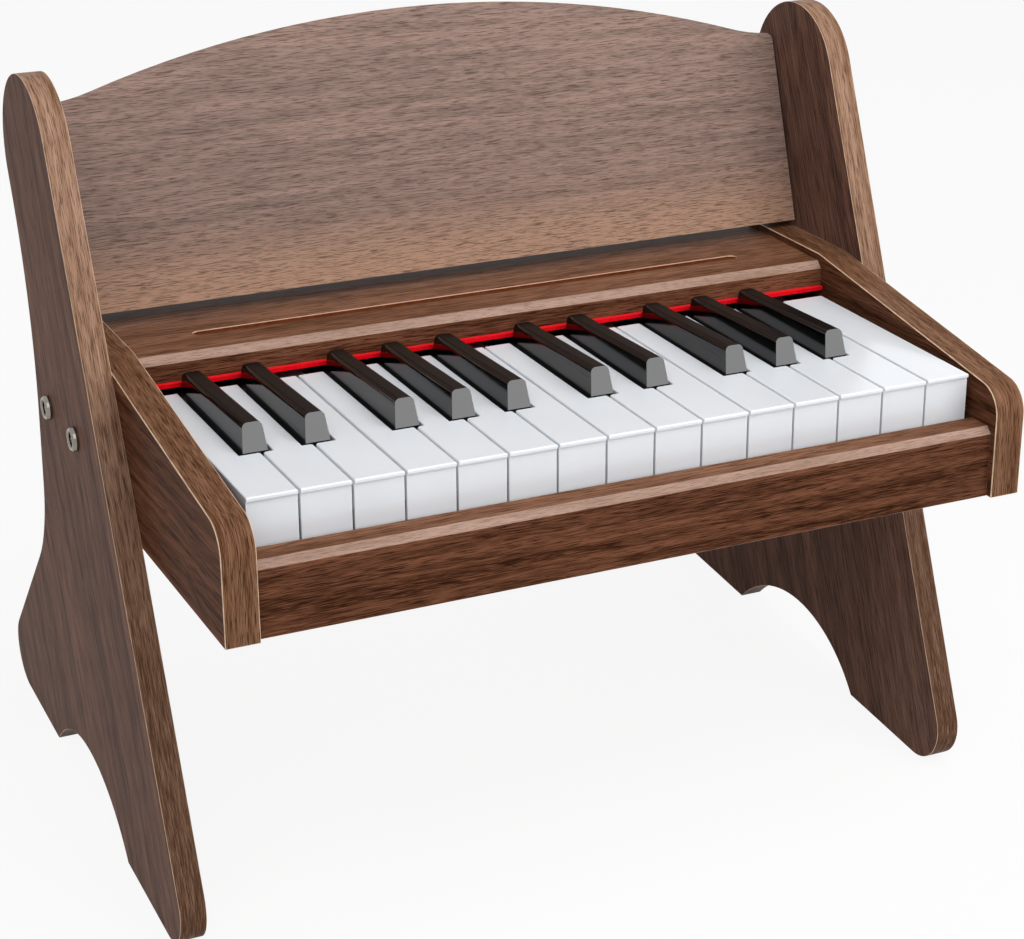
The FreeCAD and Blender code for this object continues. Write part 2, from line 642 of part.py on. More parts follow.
def make_slab(label, x_low, x_high, y_low, y_high, z_low, z_high):
    """A plain strip or board in the case's frame."""
    sizes = {"Length": f"({x_high}) - ({x_low})", "Width": f"({y_high}) - ({y_low})",
             "Height": f"({z_high}) - ({z_low})"}
    return group(label, [add_primitive("Part::Box", label + "_slab", sizes, (x_low, y_low, z_low))])


# Keys: each white key is a moulded shell with a lip, notches and a tail that turns on the pivot rod
def slot_edges(octave, slot):
    """Left and right edges of one of the twelve tail slots of an octave, as expressions."""
    first_group = slot < 5
    left_white = 7 * octave - WHITE_KEYS / 2 + (0 if first_group else 3)
    step = "(3 * key_pitch / 5)" if first_group else "(4 * key_pitch / 7)"
    place = slot if first_group else slot - 5
    return [f"({left_white} * key_pitch + {edge} * {step})" for edge in (place, place + 1)]


WHITE_SLOTS = (0, 2, 4, 5, 7, 9, 11)
BLACK_SLOTS = (1, 3, 6, 8, 10)
WHITE_NAMES = "CDEFGAB"
NOTCH = "(black_front - notch_gap)"


def add_tail(body, middle):
    """The bar behind a key's shell, with the bore for the pivot rod."""
    low, high = f"{middle} - tail_width / 2", f"{middle} + tail_width / 2"
    add_block(body, low, high, "white_length - key_wall", "tail_end", TAIL_BOTTOM, "0 - tail_drop")
    cut_side_holes(body, low, high, [("pivot_y", PIVOT_Z)], "rod_diameter / 2 + rod_clearance")


def make_white_key(number, slots):
    """One white key; slots are the left and right edges of its narrow back part."""
    body = add_body(f"white_key_{number + 1:02d}")
    left = f"({number - WHITE_KEYS / 2} * key_pitch + key_gap / 2)"
    right = f"({number + 1 - WHITE_KEYS / 2} * key_pitch - key_gap / 2)"
    back_left, back_right = f"({slots[0]} + key_gap / 2)", f"({slots[1]} - key_gap / 2)"
    notch_left = value(back_left) > value(left) + 0.1
    notch_right = value(back_right) < value(right) - 0.1

    def outline(inset, front, back):
        """Corners of the key's plan, drawn in by a wall."""
        notch = f"{NOTCH} - {inset}"
        near_left, near_right = f"{left} + {inset}", f"{right} - {inset}"
        far_left, far_right = f"{back_left} + {inset}", f"{back_right} - {inset}"
        corners = [(near_left, front), (near_right, front)]
        if notch_right:
            corners += [(near_right, notch), (far_right, notch)]
        corners += [(far_right, back), (far_left, back)]
        if notch_left:
            corners += [(far_left, notch), (near_left, notch)]
        return corners

    plan = add_sketch(body, "XY_Plane", "0 - white_skirt")
    draw_polygon(plan, outline("0", "0", "white_length"))
    pad(body, plan, "white_skirt")
    corners = [value(side) for side, notched in ((left, notch_left), (right, notch_right)) if notched]

    def at_notch(edge):
        """Whether the edge is an upright corner beside a notch."""
        return all(abs(v.Point.y - value(NOTCH)) < 0.001 and any(abs(v.Point.x - x) < 0.001 for x in corners)
                   for v in edge.Vertexes)

    if corners:
        round_edges(body, "notch_round", at_notch)
    add_block(body, left, right, "0", "key_top_wall", "0 - white_apron", "0 - white_skirt")
    add_block(body, left, right, "0 - lip_overhang", "key_top_wall", "0 - lip_thick", "0")
    hollow = add_sketch(body, "XY_Plane", "0 - white_skirt")
    draw_polygon(hollow, outline("key_wall", "key_top_wall", "key_hollow_end"))
    pocket(body, hollow, "white_skirt - key_top_wall")
    round_edges(body, "key_edge", lambda edge: all(abs(v.Point.z) < 0.001 for v in edge.Vertexes))
    add_tail(body, f"(({back_left} + {back_right}) / 2)")
    return body


def make_black_key(number, slots):
    """One black key, raked at its front and narrower along its top."""
    body = add_body(f"black_key_{number + 1:02d}")
    middle = f"(({slots[0]} + {slots[1]}) / 2)"
    rear = "(black_front + black_length)"
    side = add_sketch(body, "YZ_Plane", f"{middle} - black_width / 2")
    draw_polygon(side, (
        ("black_front", "0 - white_skirt"),
        (rear, "0 - white_skirt"),
        (rear, "black_rear_height"),
        ("black_front + black_rake", "black_height"),
        ("black_front", "0"),
    ))
    pad(body, side, "black_width")
    flanks = add_sketch(body, "XZ_Plane", "0 - tail_end")
    spare = "black_width"
    for sign in ("-", "+"):
        draw_polygon(flanks, (
            (f"{middle} {sign} black_width / 2", "0"),
            (f"{middle} {sign} black_top_width / 2", "black_height"),
            (f"{middle} {sign} black_top_width / 2", f"black_height + {spare}"),
            (f"{middle} {sign} {spare}", f"black_height + {spare}"),
            (f"{middle} {sign} {spare}", "0"),
        ))
    pocket(body, flanks, "tail_end")
    low = value("black_rear_height") - 0.01

    def along_top(edge):
        """Whether the edge runs along the key's top, from its front to its back."""
        start, end = (v.Point for v in edge.Vertexes)
        return min(start.z, end.z) > low and abs(start.y - end.y) > abs(start.x - end.x)

    round_edges(body, "black_edge", along_top)
    inner = "(black_top_width / 2 - key_wall)"
    cut_block(body, f"{middle} - {inner}", f"{middle} + {inner}", "black_front + black_rake + key_wall",
              "key_hollow_end", "0 - white_skirt", "black_rear_height - 2 * key_wall")
    add_tail(body, middle)
    return body


def key_slots():
    """Every key from left to right, as (kind, slot edges)."""
    keys = []
    for octave in range(OCTAVES):
        for slot in range(12):
            keys.append(("white" if slot in WHITE_SLOTS else "black", slot_edges(octave, slot)))
    last = WHITE_KEYS / 2
    keys.append(("white", (f"({last - 1} * key_pitch)", f"({last} * key_pitch)")))
    return keys


KEYS = key_slots()
TAILS = [f"(({low} + {high}) / 2)" for kind, (low, high) in KEYS]


def make_keys():
    """All the keys as separate bodies."""
    count = {"white": 0, "black": 0}
    bodies = []
    for kind, slots in KEYS:
        maker = make_white_key if kind == "white" else make_black_key
        bodies.append(maker(count[kind], slots))
        count[kind] += 1
    return bodies


def rib_middles():
    """Middles of the bearing ribs: one between neighbouring tails and one outside each end tail."""
    between = [f"(({low}) + ({high})) / 2" for low, high in zip(TAILS, TAILS[1:])]
    outside = "(tail_width / 2 + rib_thick)"
    return [f"{TAILS[0]} - {outside}"] + between + [f"{TAILS[-1]} + {outside}"]


def make_key_frame():
    """The moulded frame under the keys: a plate with feet, slotted ribs for the rod, and stop rails."""
    body = add_body("key_frame")
    left, right = "(1 - cheek_inner)", "(cheek_inner - 1)"
    back = f"({REAR_FRONT} - 1)"
    add_block(body, left, right, "frame_front", back, "0 - frame_floor", FRAME_TOP)
    add_block(body, left, right, "stop_y - stop_depth / 2", "stop_y + stop_depth / 2", FRAME_TOP,
              f"{STOP_TOP} - felt_thick")
    add_block(body, left, right, "contact_y - contact_depth / 2", "contact_y + contact_depth / 2", FRAME_TOP,
              f"{CIRCUIT_TOP} - circuit_thick")
    add_block(body, left, right, REST_FRONT, back, FRAME_TOP, f"{REST_TOP} - felt_thick")
    reach = "(rod_diameter * 1.5)"
    ribs = add_sketch(body, "XY_Plane", FRAME_TOP)
    for middle in rib_middles():
        draw_rectangle(ribs, f"{middle} - rib_thick / 2", f"{middle} + rib_thick / 2",
                       f"pivot_y - {reach}", f"pivot_y + {reach}")
    pad(body, ribs, f"{PIVOT_Z} + {reach} - ({FRAME_TOP})")
    bearing = "(rod_diameter / 2 + rod_clearance)"
    cut_block(body, left, right, f"pivot_y - {bearing}", f"pivot_y + {bearing}", f"{PIVOT_Z} - {bearing}",
              f"{PIVOT_Z} + {reach}")
    foot = "(frame_plate * 4)"
    for x_low in (left, f"0 - {foot} / 2", f"{right} - {foot}"):
        for y_low in ("frame_front", f"{back} - {foot}"):
            add_block(body, x_low, f"{x_low} + {foot}", y_low, f"{y_low} + {foot}",
                      BASE_TOP, "0 - frame_floor")
    return body


def make_stops():
    """The pivot rod and the felts and contacts that run under all the keys."""
    left, right = "(2 - cheek_inner)", "(cheek_inner - 2)"
    first, last = rib_middles()[0], rib_middles()[-1]
    rod_left = f"({first} - rib_thick / 2)"
    rod = add_round("rod", "rod_diameter / 2", f"{last} + rib_thick / 2 - {rod_left}",
                    (rod_left, "pivot_y", PIVOT_Z), X_AXIS)
    domes = add_body("rubber_contact_strip")
    add_block(domes, left, right, "contact_y - contact_depth / 2", "contact_y + contact_depth / 2",
              CIRCUIT_TOP, f"{CIRCUIT_TOP} + dome_strip")
    blisters = add_sketch(domes, "XY_Plane", f"{CIRCUIT_TOP} + dome_strip")
    for middle in TAILS:
        draw_rectangle(blisters, f"{middle} - dome_width / 2", f"{middle} + dome_width / 2",
                       "contact_y - dome_width / 2", "contact_y + dome_width / 2")
    pad(domes, blisters, "dome_rise")
    return [
        group("pivot_rod", [rod]),
        make_slab("key_down_felt", left, right, "stop_y - stop_depth / 2", "stop_y + stop_depth / 2",
                  f"{STOP_TOP} - felt_thick", STOP_TOP),
        make_slab("key_rest_felt", left, right, REST_FRONT, f"{REAR_FRONT} - 1",
                  f"{REST_TOP} - felt_thick", REST_TOP),
        make_slab("contact_board", left, right, "contact_y - contact_depth / 2",
                  "contact_y + contact_depth / 2", f"{CIRCUIT_TOP} - circuit_thick", CIRCUIT_TOP),
        domes,
        make_slab("red_felt_strip", "stop_clearance - cheek_inner", "cheek_inner - stop_clearance",
                  "felt_front", "felt_front + felt_depth", f"{BOARD_UNDER} - red_felt_thick", BOARD_UNDER),
    ]


def make_speaker():
    """A small speaker that faces the slots in the bottom board: basket, cone and magnet."""
    radius = "(speaker_diameter / 2)"
    flange = "(speaker_height / 10)"
    place = ("speaker_x", "room_y", BASE_TOP)
    throat = "(speaker_diameter / 5)"
    cone_top = "(speaker_height / 2)"
    rim = add_round("rim", radius, flange, place, Z_AXIS)
    mouth = add_round("mouth", f"{radius} * 0.86", flange, place, Z_AXIS)
    basket = doc.addObject("Part::Cut", "basket")
    basket.Base, basket.Tool = rim, mouth
    cone = add_primitive("Part::Cone", "cone", {
        "Radius1": f"{radius} * 0.86", "Radius2": throat, "Height": f"{cone_top} + {flange}"}, place)
    magnet = add_round("magnet", "speaker_diameter / 4", f"speaker_height - {cone_top} - {flange}",
                       ("speaker_x", "room_y", f"{BASE_TOP} + {cone_top} + {flange}"), Z_AXIS)
    solids = {"speaker_basket": basket, "speaker_cone": cone, "speaker_magnet": magnet}
    return [group(label, [solid]) for label, solid in solids.items()]


def make_power():
    """The battery box with its cells and contact plates, and the door under it."""
    box = add_body("battery_box")
    left, right = f"(battery_x - {BOX_WIDTH} / 2)", f"(battery_x + {BOX_WIDTH} / 2)"
    front, back = f"(room_y - {BOX_DEPTH} / 2)", f"(room_y + {BOX_DEPTH} / 2)"
    top = f"({BASE_TOP} + {BOX_HEIGHT})"
    add_block(box, left, right, front, back, BASE_TOP, top)
    cut_block(box, f"{left} + box_wall", f"{right} - box_wall", f"{front} + box_wall", f"{back} - box_wall",
              BASE_TOP, f"{top} - box_wall")
    cells, plates = [], []
    for row in range(4):
        y = f"({front} + box_wall * {row + 1} + cell_diameter * {row + 0.5})"
        z = f"({top} - box_wall - cell_diameter / 2)"
        start = "(battery_x - cell_length / 2)"
        cells.append(add_round(f"cell_{row}", "cell_diameter / 2", "cell_length", (start, y, z), X_AXIS))
        for x in (f"{left} + box_wall", f"{right} - 2 * box_wall"):
            plates.append(add_primitive("Part::Box", f"plate_{row}", {
                "Length": "box_wall", "Width": "cell_diameter * 0.7", "Height": "cell_diameter * 0.7"},
                (x, f"{y} - cell_diameter * 0.35", f"{top} - box_wall - cell_diameter * 0.85")))
    gap = "(box_wall + door_clearance)"
    door = make_slab("battery_door", f"{left} + {gap}", f"{right} - {gap}", f"{front} + {gap}",
                     f"{back} - {gap}", "0 - case_bottom", f"{BASE_TOP} - door_clearance")
    return [box, group("battery_cells", cells), group("battery_contacts", plates), door]


def make_electronics():
    """The main board on its posts and the slide switch on the bottom board."""
    left, right = "(main_board_x - main_board_width / 2)", "(main_board_x + main_board_width / 2)"
    front, back = "(room_y - main_board_depth / 2)", "(room_y + main_board_depth / 2)"
    level = f"({BASE_TOP} + main_board_rise)"
    posts = []
    inset = "(main_board_rise * 0.8)"
    for x in (f"{left} + {inset}", f"{right} - {inset}"):
        for y in (f"{front} + {inset}", f"{back} - {inset}"):
            place = (x, y, BASE_TOP)
            posts.append(add_round("post", "main_board_rise / 2", "main_board_rise", place, Z_AXIS))
    switch = add_body("switch_housing")
    wall = "(knob_width / 2)"
    slide_left = "(switch_x - knob_length / 2 - knob_clearance)"
    slide_right = "(switch_x + knob_length / 2 + switch_travel + knob_clearance)"
    slide_front = "(room_y - knob_width / 2 - knob_clearance)"
    slide_back = "(room_y + knob_width / 2 + knob_clearance)"
    top = f"({BASE_TOP} + knob_length + {wall})"
    add_block(switch, f"{slide_left} - {wall}", f"{slide_right} + {wall}", f"{slide_front} - {wall}",
              f"{slide_back} + {wall}", BASE_TOP, top)
    cut_block(switch, slide_left, slide_right, slide_front, slide_back, BASE_TOP, f"{top} - {wall}")
    knob = make_slab("switch_knob", "switch_x - knob_length / 2", "switch_x + knob_length / 2",
                     "room_y - knob_width / 2", "room_y + knob_width / 2",
                     "0 - case_bottom - knob_width / 2", f"{top} - {wall} - stop_clearance")
    board = make_slab("main_board", left, right, front, back, level, f"{level} + circuit_thick")
    return [board, group("board_posts", posts), switch, knob]


def make_fasteners():
    """Leg bolts with their inserts, wooden dowels and the screws of the bottom board."""
    bolts, inserts, dowels, screws = [], [], [], []
    for side in (-1, 1):
        inward = FreeCAD.Vector(-side, 0, 0)
        for y, z in BOLTS:
            bolts.append(make_bolt(side, y, z))
            inserts.append(make_insert(side, y, z))
        for y, z in SLIP_DOWELS + REAR_DOWELS + BOARD_DOWELS:
            start = f"{side} * (cheek_inner + {CHEEK_DOWEL} - dowel_clearance)"
            dowels.append(add_round("case_dowel", DOWEL_RADIUS, "dowel_length - 2 * dowel_clearance",
                                    (start, y, z), inward))
    for x in SCREW_X:
        for y in SCREW_Y:
            screws.append(add_round("screw", "rebate / 4 - dowel_clearance", "base_thick",
                                    (x, y, "0 - case_bottom"), Z_AXIS))
    panel_dowels = []
    for side in (-1, 1):
        for y, z in PANEL_DOWELS:
            start = f"{side} * ({LEG_INNER} + {LEG_DOWEL} - dowel_clearance)"
            panel_dowels.append(add_round("panel_dowel", DOWEL_RADIUS, "dowel_length - 2 * dowel_clearance",
                                          (start, y, z), FreeCAD.Vector(-side, 0, 0)))
    upright = group("panel_dowels", panel_dowels)
    upright.Placement = FreeCAD.Placement(FreeCAD.Vector(0, value("key_front_y"), 0), FreeCAD.Rotation())
    return [group("leg_bolts", bolts), group("threaded_inserts", inserts), group("case_dowels", dowels),
            group("bottom_screws", screws), upright]


def make_bolt(side, y, z):
    """A bolt from outside a leg into its insert, with a domed head and a cross recess."""
    inward = FreeCAD.Vector(-side, 0, 0)
    shank = add_round("shank", "bolt_diameter / 2", "leg_thick + insert_length",
                      (f"{side} * {LEG_OUTER}", y, z), inward)
    button = add_round("button", "bolt_head / 2", "bolt_head_rise",
                       (f"{side} * ({LEG_OUTER} + bolt_head_rise)", y, z), inward)
    ball_radius = "(bolt_head * 0.72)"
    ball = add_primitive("Part::Sphere", "ball", {"Radius": ball_radius},
                         (f"{side} * ({LEG_OUTER} + bolt_head_rise - {ball_radius})", y, z))
    head = doc.addObject("Part::Common", "head")
    head.Base, head.Tool = button, ball
    bolt = doc.addObject("Part::Fuse", "bolt")
    bolt.Base, bolt.Tool = head, shank
    long, short, deep = "(bolt_head / 2)", "(bolt_head / 8)", "(bolt_head_rise * 0.6)"
    start = f"{LEG_OUTER} + bolt_head_rise - {deep}" if side > 0 else f"0 - {LEG_OUTER} - bolt_head_rise"
    for tall, wide in ((long, short), (short, long)):
        recess = add_primitive("Part::Box", "recess", {"Length": deep, "Width": wide, "Height": tall},
                               (start, f"{y} - {wide} / 2", f"{z} - {tall} / 2"))
        cut = doc.addObject("Part::Cut", "recessed_bolt")
        cut.Base, cut.Tool = bolt, recess
        bolt = cut
    return bolt


def make_insert(side, y, z):
    """A threaded insert in a cheek."""
    inward = FreeCAD.Vector(-side, 0, 0)
    place = (f"{side} * {LEG_INNER}", y, z)
    sleeve = add_round("sleeve", "insert_diameter / 2", "insert_length", place, inward)
    bore = add_round("bore", "bolt_diameter / 2 + rod_clearance", "insert_length", place, inward)
    insert = doc.addObject("Part::Cut", "insert")
    insert.Base, insert.Tool = sleeve, bore
    return insert


def main():
    """Builds every piece, tests it and writes one file for each."""
    pieces = [make_leg("left_leg_panel", -1), make_leg("right_leg_panel", 1), make_back_panel()]
    pieces += [make_cheek("left_cheek", -1), make_cheek("right_cheek", 1)]
    pieces += [make_key_slip(), make_top_board(), make_rear_board(), make_bottom_board()]
    pieces += make_keys()
    pieces.append(make_key_frame())
    pieces += make_stops()
    pieces += make_speaker()
    pieces += make_power()
    pieces += make_electronics()
    pieces += make_fasteners()
    doc.recompute()
    for item in doc.Objects:
        if "Invalid" in item.State or "Error" in item.State:
            raise RuntimeError(f"{item.Label} failed: {item.State}")
    os.makedirs("parts", exist_ok=True)
    for piece in pieces:
        shape = piece.Shape
        if shape.isNull() or not shape.isValid():
            raise RuntimeError(f"{piece.Label} has no valid solid")
        shape.exportStep(f"parts/{piece.Label}.step")
    print(len(pieces), "pieces")


main()
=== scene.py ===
import json
import math

import bmesh
import bpy
from mathutils import Matrix, Vector


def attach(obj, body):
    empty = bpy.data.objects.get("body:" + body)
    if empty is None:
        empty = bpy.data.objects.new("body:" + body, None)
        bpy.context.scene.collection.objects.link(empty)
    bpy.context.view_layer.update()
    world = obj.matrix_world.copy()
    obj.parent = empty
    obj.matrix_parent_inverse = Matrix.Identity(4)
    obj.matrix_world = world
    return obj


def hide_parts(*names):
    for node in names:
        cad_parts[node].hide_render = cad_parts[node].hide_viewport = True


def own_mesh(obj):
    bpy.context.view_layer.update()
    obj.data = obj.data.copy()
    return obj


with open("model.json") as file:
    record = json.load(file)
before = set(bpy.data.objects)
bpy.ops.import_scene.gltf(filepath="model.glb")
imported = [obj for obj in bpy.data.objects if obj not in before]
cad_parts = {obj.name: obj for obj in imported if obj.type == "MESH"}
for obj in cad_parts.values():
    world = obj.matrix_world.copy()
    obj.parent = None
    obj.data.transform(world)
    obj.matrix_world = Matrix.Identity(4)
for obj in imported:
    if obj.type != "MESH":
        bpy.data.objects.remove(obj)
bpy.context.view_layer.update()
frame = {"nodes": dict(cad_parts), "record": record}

bl_info = {
    "name": "Toy piano",
    "version": (1, 0, 0),
    "blender": (4, 5, 0),
    "location": "View3D > Sidebar > Piano",
    "description": "Finishes the boards, keys, felts and fittings of a child's wooden piano",
    "category": "Object",
}

MM = 0.001
NODES = frame["nodes"]
WHITE_KEYS = sorted(name for name in NODES if name.startswith("white_key"))
BLACK_KEYS = sorted(name for name in NODES if name.startswith("black_key"))
SIDES = ("left", "right")
ACROSS = Vector((1, 0, 0))
UNTURNED = (0, 0, 0)
QUARTER_TURN = math.radians(90)

# The camera fitted to the photograph, whose frame is 1024 pixels wide
IMAGE_WIDTH = 1024
FOCAL_PIXELS = 2454.85
CENTRE_OFFSET_PIXELS = (90.0, 60.0)
SENSOR_MM = 36.0
CAMERA_PLACE = Vector((-0.4519, -0.9612, 0.6656))
CAMERA_AZIMUTH = math.radians(-27.876)
CAMERA_ELEVATION = math.radians(27.236)
CAMERA_ROLL = math.radians(2.834)


def linear(hex_colour):
    """The linear colour of an sRGB hex value."""
    parts = [int(hex_colour[i:i + 2], 16) / 255 for i in (1, 3, 5)]
    return tuple(c / 12.92 if c <= 0.04045 else ((c + 0.055) / 1.055) ** 2.4 for c in parts)


def length(name, description, default):
    """A length that a user may change."""
    return bpy.props.FloatProperty(name=name, description=description, default=default, min=0.0, unit="LENGTH")


def angle(name, description, degrees):
    """An angle that a user may change."""
    return bpy.props.FloatProperty(name=name, description=description, default=math.radians(degrees),
                                   subtype="ANGLE")


def colour(name, description, hex_colour):
    """A colour that a user may change."""
    return bpy.props.FloatVectorProperty(name=name, description=description, default=linear(hex_colour),
                                         size=3, min=0.0, max=1.0, subtype="COLOR")


class PianoSizes(bpy.types.PropertyGroup):
    """Sizes of the finishing work and the stage."""
    edge_line: length("Edge line", "Eased corner between a board's face and its edge band", 0.18 * MM)
    panel_line: length("Panel line", "Eased corners of the back panel", 0.1 * MM)
    case_line: length("Case line", "Eased corners of the case boards", 0.2 * MM)
    cheek_line: length("Cheek line", "Eased corners of the cheeks", 0.4 * MM)
    case_pitch: angle("Case pitch", "Tilt of the key case, front up", 4.5)
    leg_lean: angle("Leg lean", "Lean of the leg boards' grain", 27.35)
    panel_lean: angle("Panel lean", "Lean of the back panel", 22.9)
    # Painted light: a paler, warmer band of bounced light along the back panel's foot
    painted_light_height: length("Pale foot", "Height of the paler grain along the foot of the back panel", 40.0 * MM)
    # Painted shade: the leg bands darken towards the floor over this height
    painted_shade_height: length("Dark foot", "Height over which the leg boards' edge bands darken to the floor", 300.0 * MM)
    panel_gap: length("Panel gap", "Gap between the back panel's ends and the legs", 1.2 * MM)
    panel_round: length("Panel corner", "Rounding of the back panel's upper corners", 4.0 * MM)
    bevel_reach: length("Bevel reach", "Depth behind a board's front that its bevel lies in", 6.0 * MM)
    groove_rim: length("Groove rim", "Depth of the pale trimmed rim of the music groove", 0.6 * MM)
    floor_reach: length("Floor", "Half the width of the floor", 8.0)


class PianoColours(bpy.types.PropertyGroup):
    """Colours of the finishes."""
    leg_dark: colour("Leg, dark", "Dark grain of the leg boards", "#2F1F18")
    leg_mid: colour("Leg", "Leg boards", "#614840")
    leg_pale: colour("Leg, pale", "Pale grain of the leg boards", "#8C6858")
    panel_dark: colour("Panel, dark", "Dark grain of the back panel", "#503F38")
    panel_mid: colour("Panel", "Back panel", "#836F66")
    panel_pale: colour("Panel, pale", "Pale grain of the back panel", "#A0857A")
    case_dark: colour("Case, dark", "Dark grain of the case boards", "#1E0B04")
    case_mid: colour("Case", "Case boards", "#452818")
    case_pale: colour("Case, pale", "Pale grain of the case boards", "#7C503A")
    band_dark: colour("Leg band, dark", "Dark streaks of the leg boards' edge bands", "#452C1E")
    band_mid: colour("Leg band", "Edge bands of the leg boards", "#826049")
    band_pale: colour("Leg band, pale", "Pale streaks of the leg boards' edge bands", "#B08D77")
    # Painted shade: the tone that the leg bands darken to near the floor
    band_painted_shade: colour("Leg band, foot", "Edge bands of the leg boards near the floor", "#4E3324")
    cheek_dark: colour("Cheek band, dark", "Dark streaks of the cheeks' edge bands", "#321B0C")
    cheek_mid: colour("Cheek band", "Edge bands of the cheeks", "#64422D")
    cheek_pale: colour("Cheek band, pale", "Pale streaks of the cheeks' edge bands", "#8C674F")
    corner: colour("Corner line", "Cut edge of the band at a corner", "#E4C3A2")
    # Painted light: the bevel's tones are the case foil made paler where the bevel faces the lamps
    bevel_dark: colour("Bevel, dark", "Dark grain of the bevelled edges", "#6E5448")
    bevel_mid: colour("Bevel", "Bevelled edges of the case boards", "#987A6A")
    bevel_pale: colour("Bevel, pale", "Pale grain of the bevelled edges", "#B19384")
    # Painted light: the top board's tones are the case foil made paler where it faces the lamps
    board_dark: colour("Top board, dark", "Dark grain of the top board", "#3F2416")
    board_mid: colour("Top board", "Top board", "#66422D")
    board_pale: colour("Top board, pale", "Pale grain of the top board", "#8A624B")
    # The groove's red-brown is partly painted shade, and the rim's pale tone is partly a painted highlight
    groove: colour("Groove", "Routed wall of the music groove", "#6A3720")
    rim: colour("Groove rim", "Trimmed rim of the music groove", "#EBC2A4")
    # Painted light: the tone of the bounced light along the back panel's foot
    panel_painted_light: colour("Panel foot", "Paler grain along the foot of the back panel", "#C29A80")
    # Painted shade: dark greys for the rear board's top, where it shows in the gap under the back panel
    rear_dark: colour("Rear board, dark", "Dark grain of the rear board", "#4A4341")
    rear_mid: colour("Rear board", "Rear board behind the case", "#6E6563")
    rear_pale: colour("Rear board, pale", "Pale grain of the rear board", "#786E6B")
    white_key: colour("White keys", "White key plastic", "#E9EDF2")
    black_key: colour("Black keys", "Black key plastic", "#060607")
    felt: colour("Felt", "Felt strip behind the keys", "#FF0018")
    nickel: colour("Nickel", "Plated bolts and screws", "#8F8880")
    # Painted shade: the near black of the bolts' cross recess and ring groove
    recess: colour("Recess", "Driver recess of the bolts", "#1C1B1A")
    floor: colour("Floor", "Floor and backdrop", "#FFFFFF")


def add_node(tree, kind, inputs=None, stops=(), **settings):
    """Adds one node with its settings, values and incoming links, and the (position, colour) stops of a ramp. Inputs
    go by name or number."""
    node = tree.nodes.new(kind)
    for name, value in settings.items():
        setattr(node, name, value)
    for name, value in (inputs or {}).items():
        if isinstance(value, bpy.types.NodeSocket):
            tree.links.new(value, node.inputs[name])
        else:
            node.inputs[name].default_value = value
    if stops:
        for element, (position, tone) in zip(node.color_ramp.elements, stops):
            element.position = position
            element.color = tone
    return node


# Sockets of a colour Mix node, by number because several share a name
MIX_FACTOR, MIX_FIRST, MIX_SECOND, MIX_RESULT = 0, 6, 7, 2


def new_material(name):
    """A material with one Principled shader, and the object's own coordinates."""
    material = bpy.data.materials.new(name)
    material.use_nodes = True
    tree = material.node_tree
    tree.nodes.clear()
    shader = add_node(tree, "ShaderNodeBsdfPrincipled")
    add_node(tree, "ShaderNodeOutputMaterial", {"Surface": shader.outputs["BSDF"]})
    place = add_node(tree, "ShaderNodeTexCoord").outputs["Object"]
    return material, tree, shader, place


def rgba(tone, share=1.0):
    """A share of a colour, with full opacity."""
    return (*(part * share for part in tone), 1.0)


def stretched_noise(tree, vector, spot_mm, **inputs):
    """Noise whose spots are about so many millimetres long along each axis."""
    scale = [1 / (size * MM) for size in spot_mm]
    scaled = add_node(tree, "ShaderNodeMapping", {"Vector": vector, "Scale": scale}).outputs["Vector"]
    return add_node(tree, "ShaderNodeTexNoise", {"Vector": scaled, "Scale": 1.0, **inputs}).outputs["Fac"]


# Wood print. Sizes of a wave and of a band, in sizes of a line
WAVE_LINES = 24
BAND_LINES = 10
# Noise values at which a band has its middle and its pale tone, and at which lines begin and are full
BAND_STOPS = (0.36, 0.66)
DARK_LINES = (0.51, 0.6)
PALE_LINES = (0.45, 0.36)
# How far a foot's painted shade or painted light covers a board at its lower edge, and how far the lines change the
# sheen
PAINTED_FOOT_COVER = 0.85
SHEEN_SPREAD = 0.08
# How little a matt surface such as foil or raw board mirrors
MATT_SPECULAR = 0.02


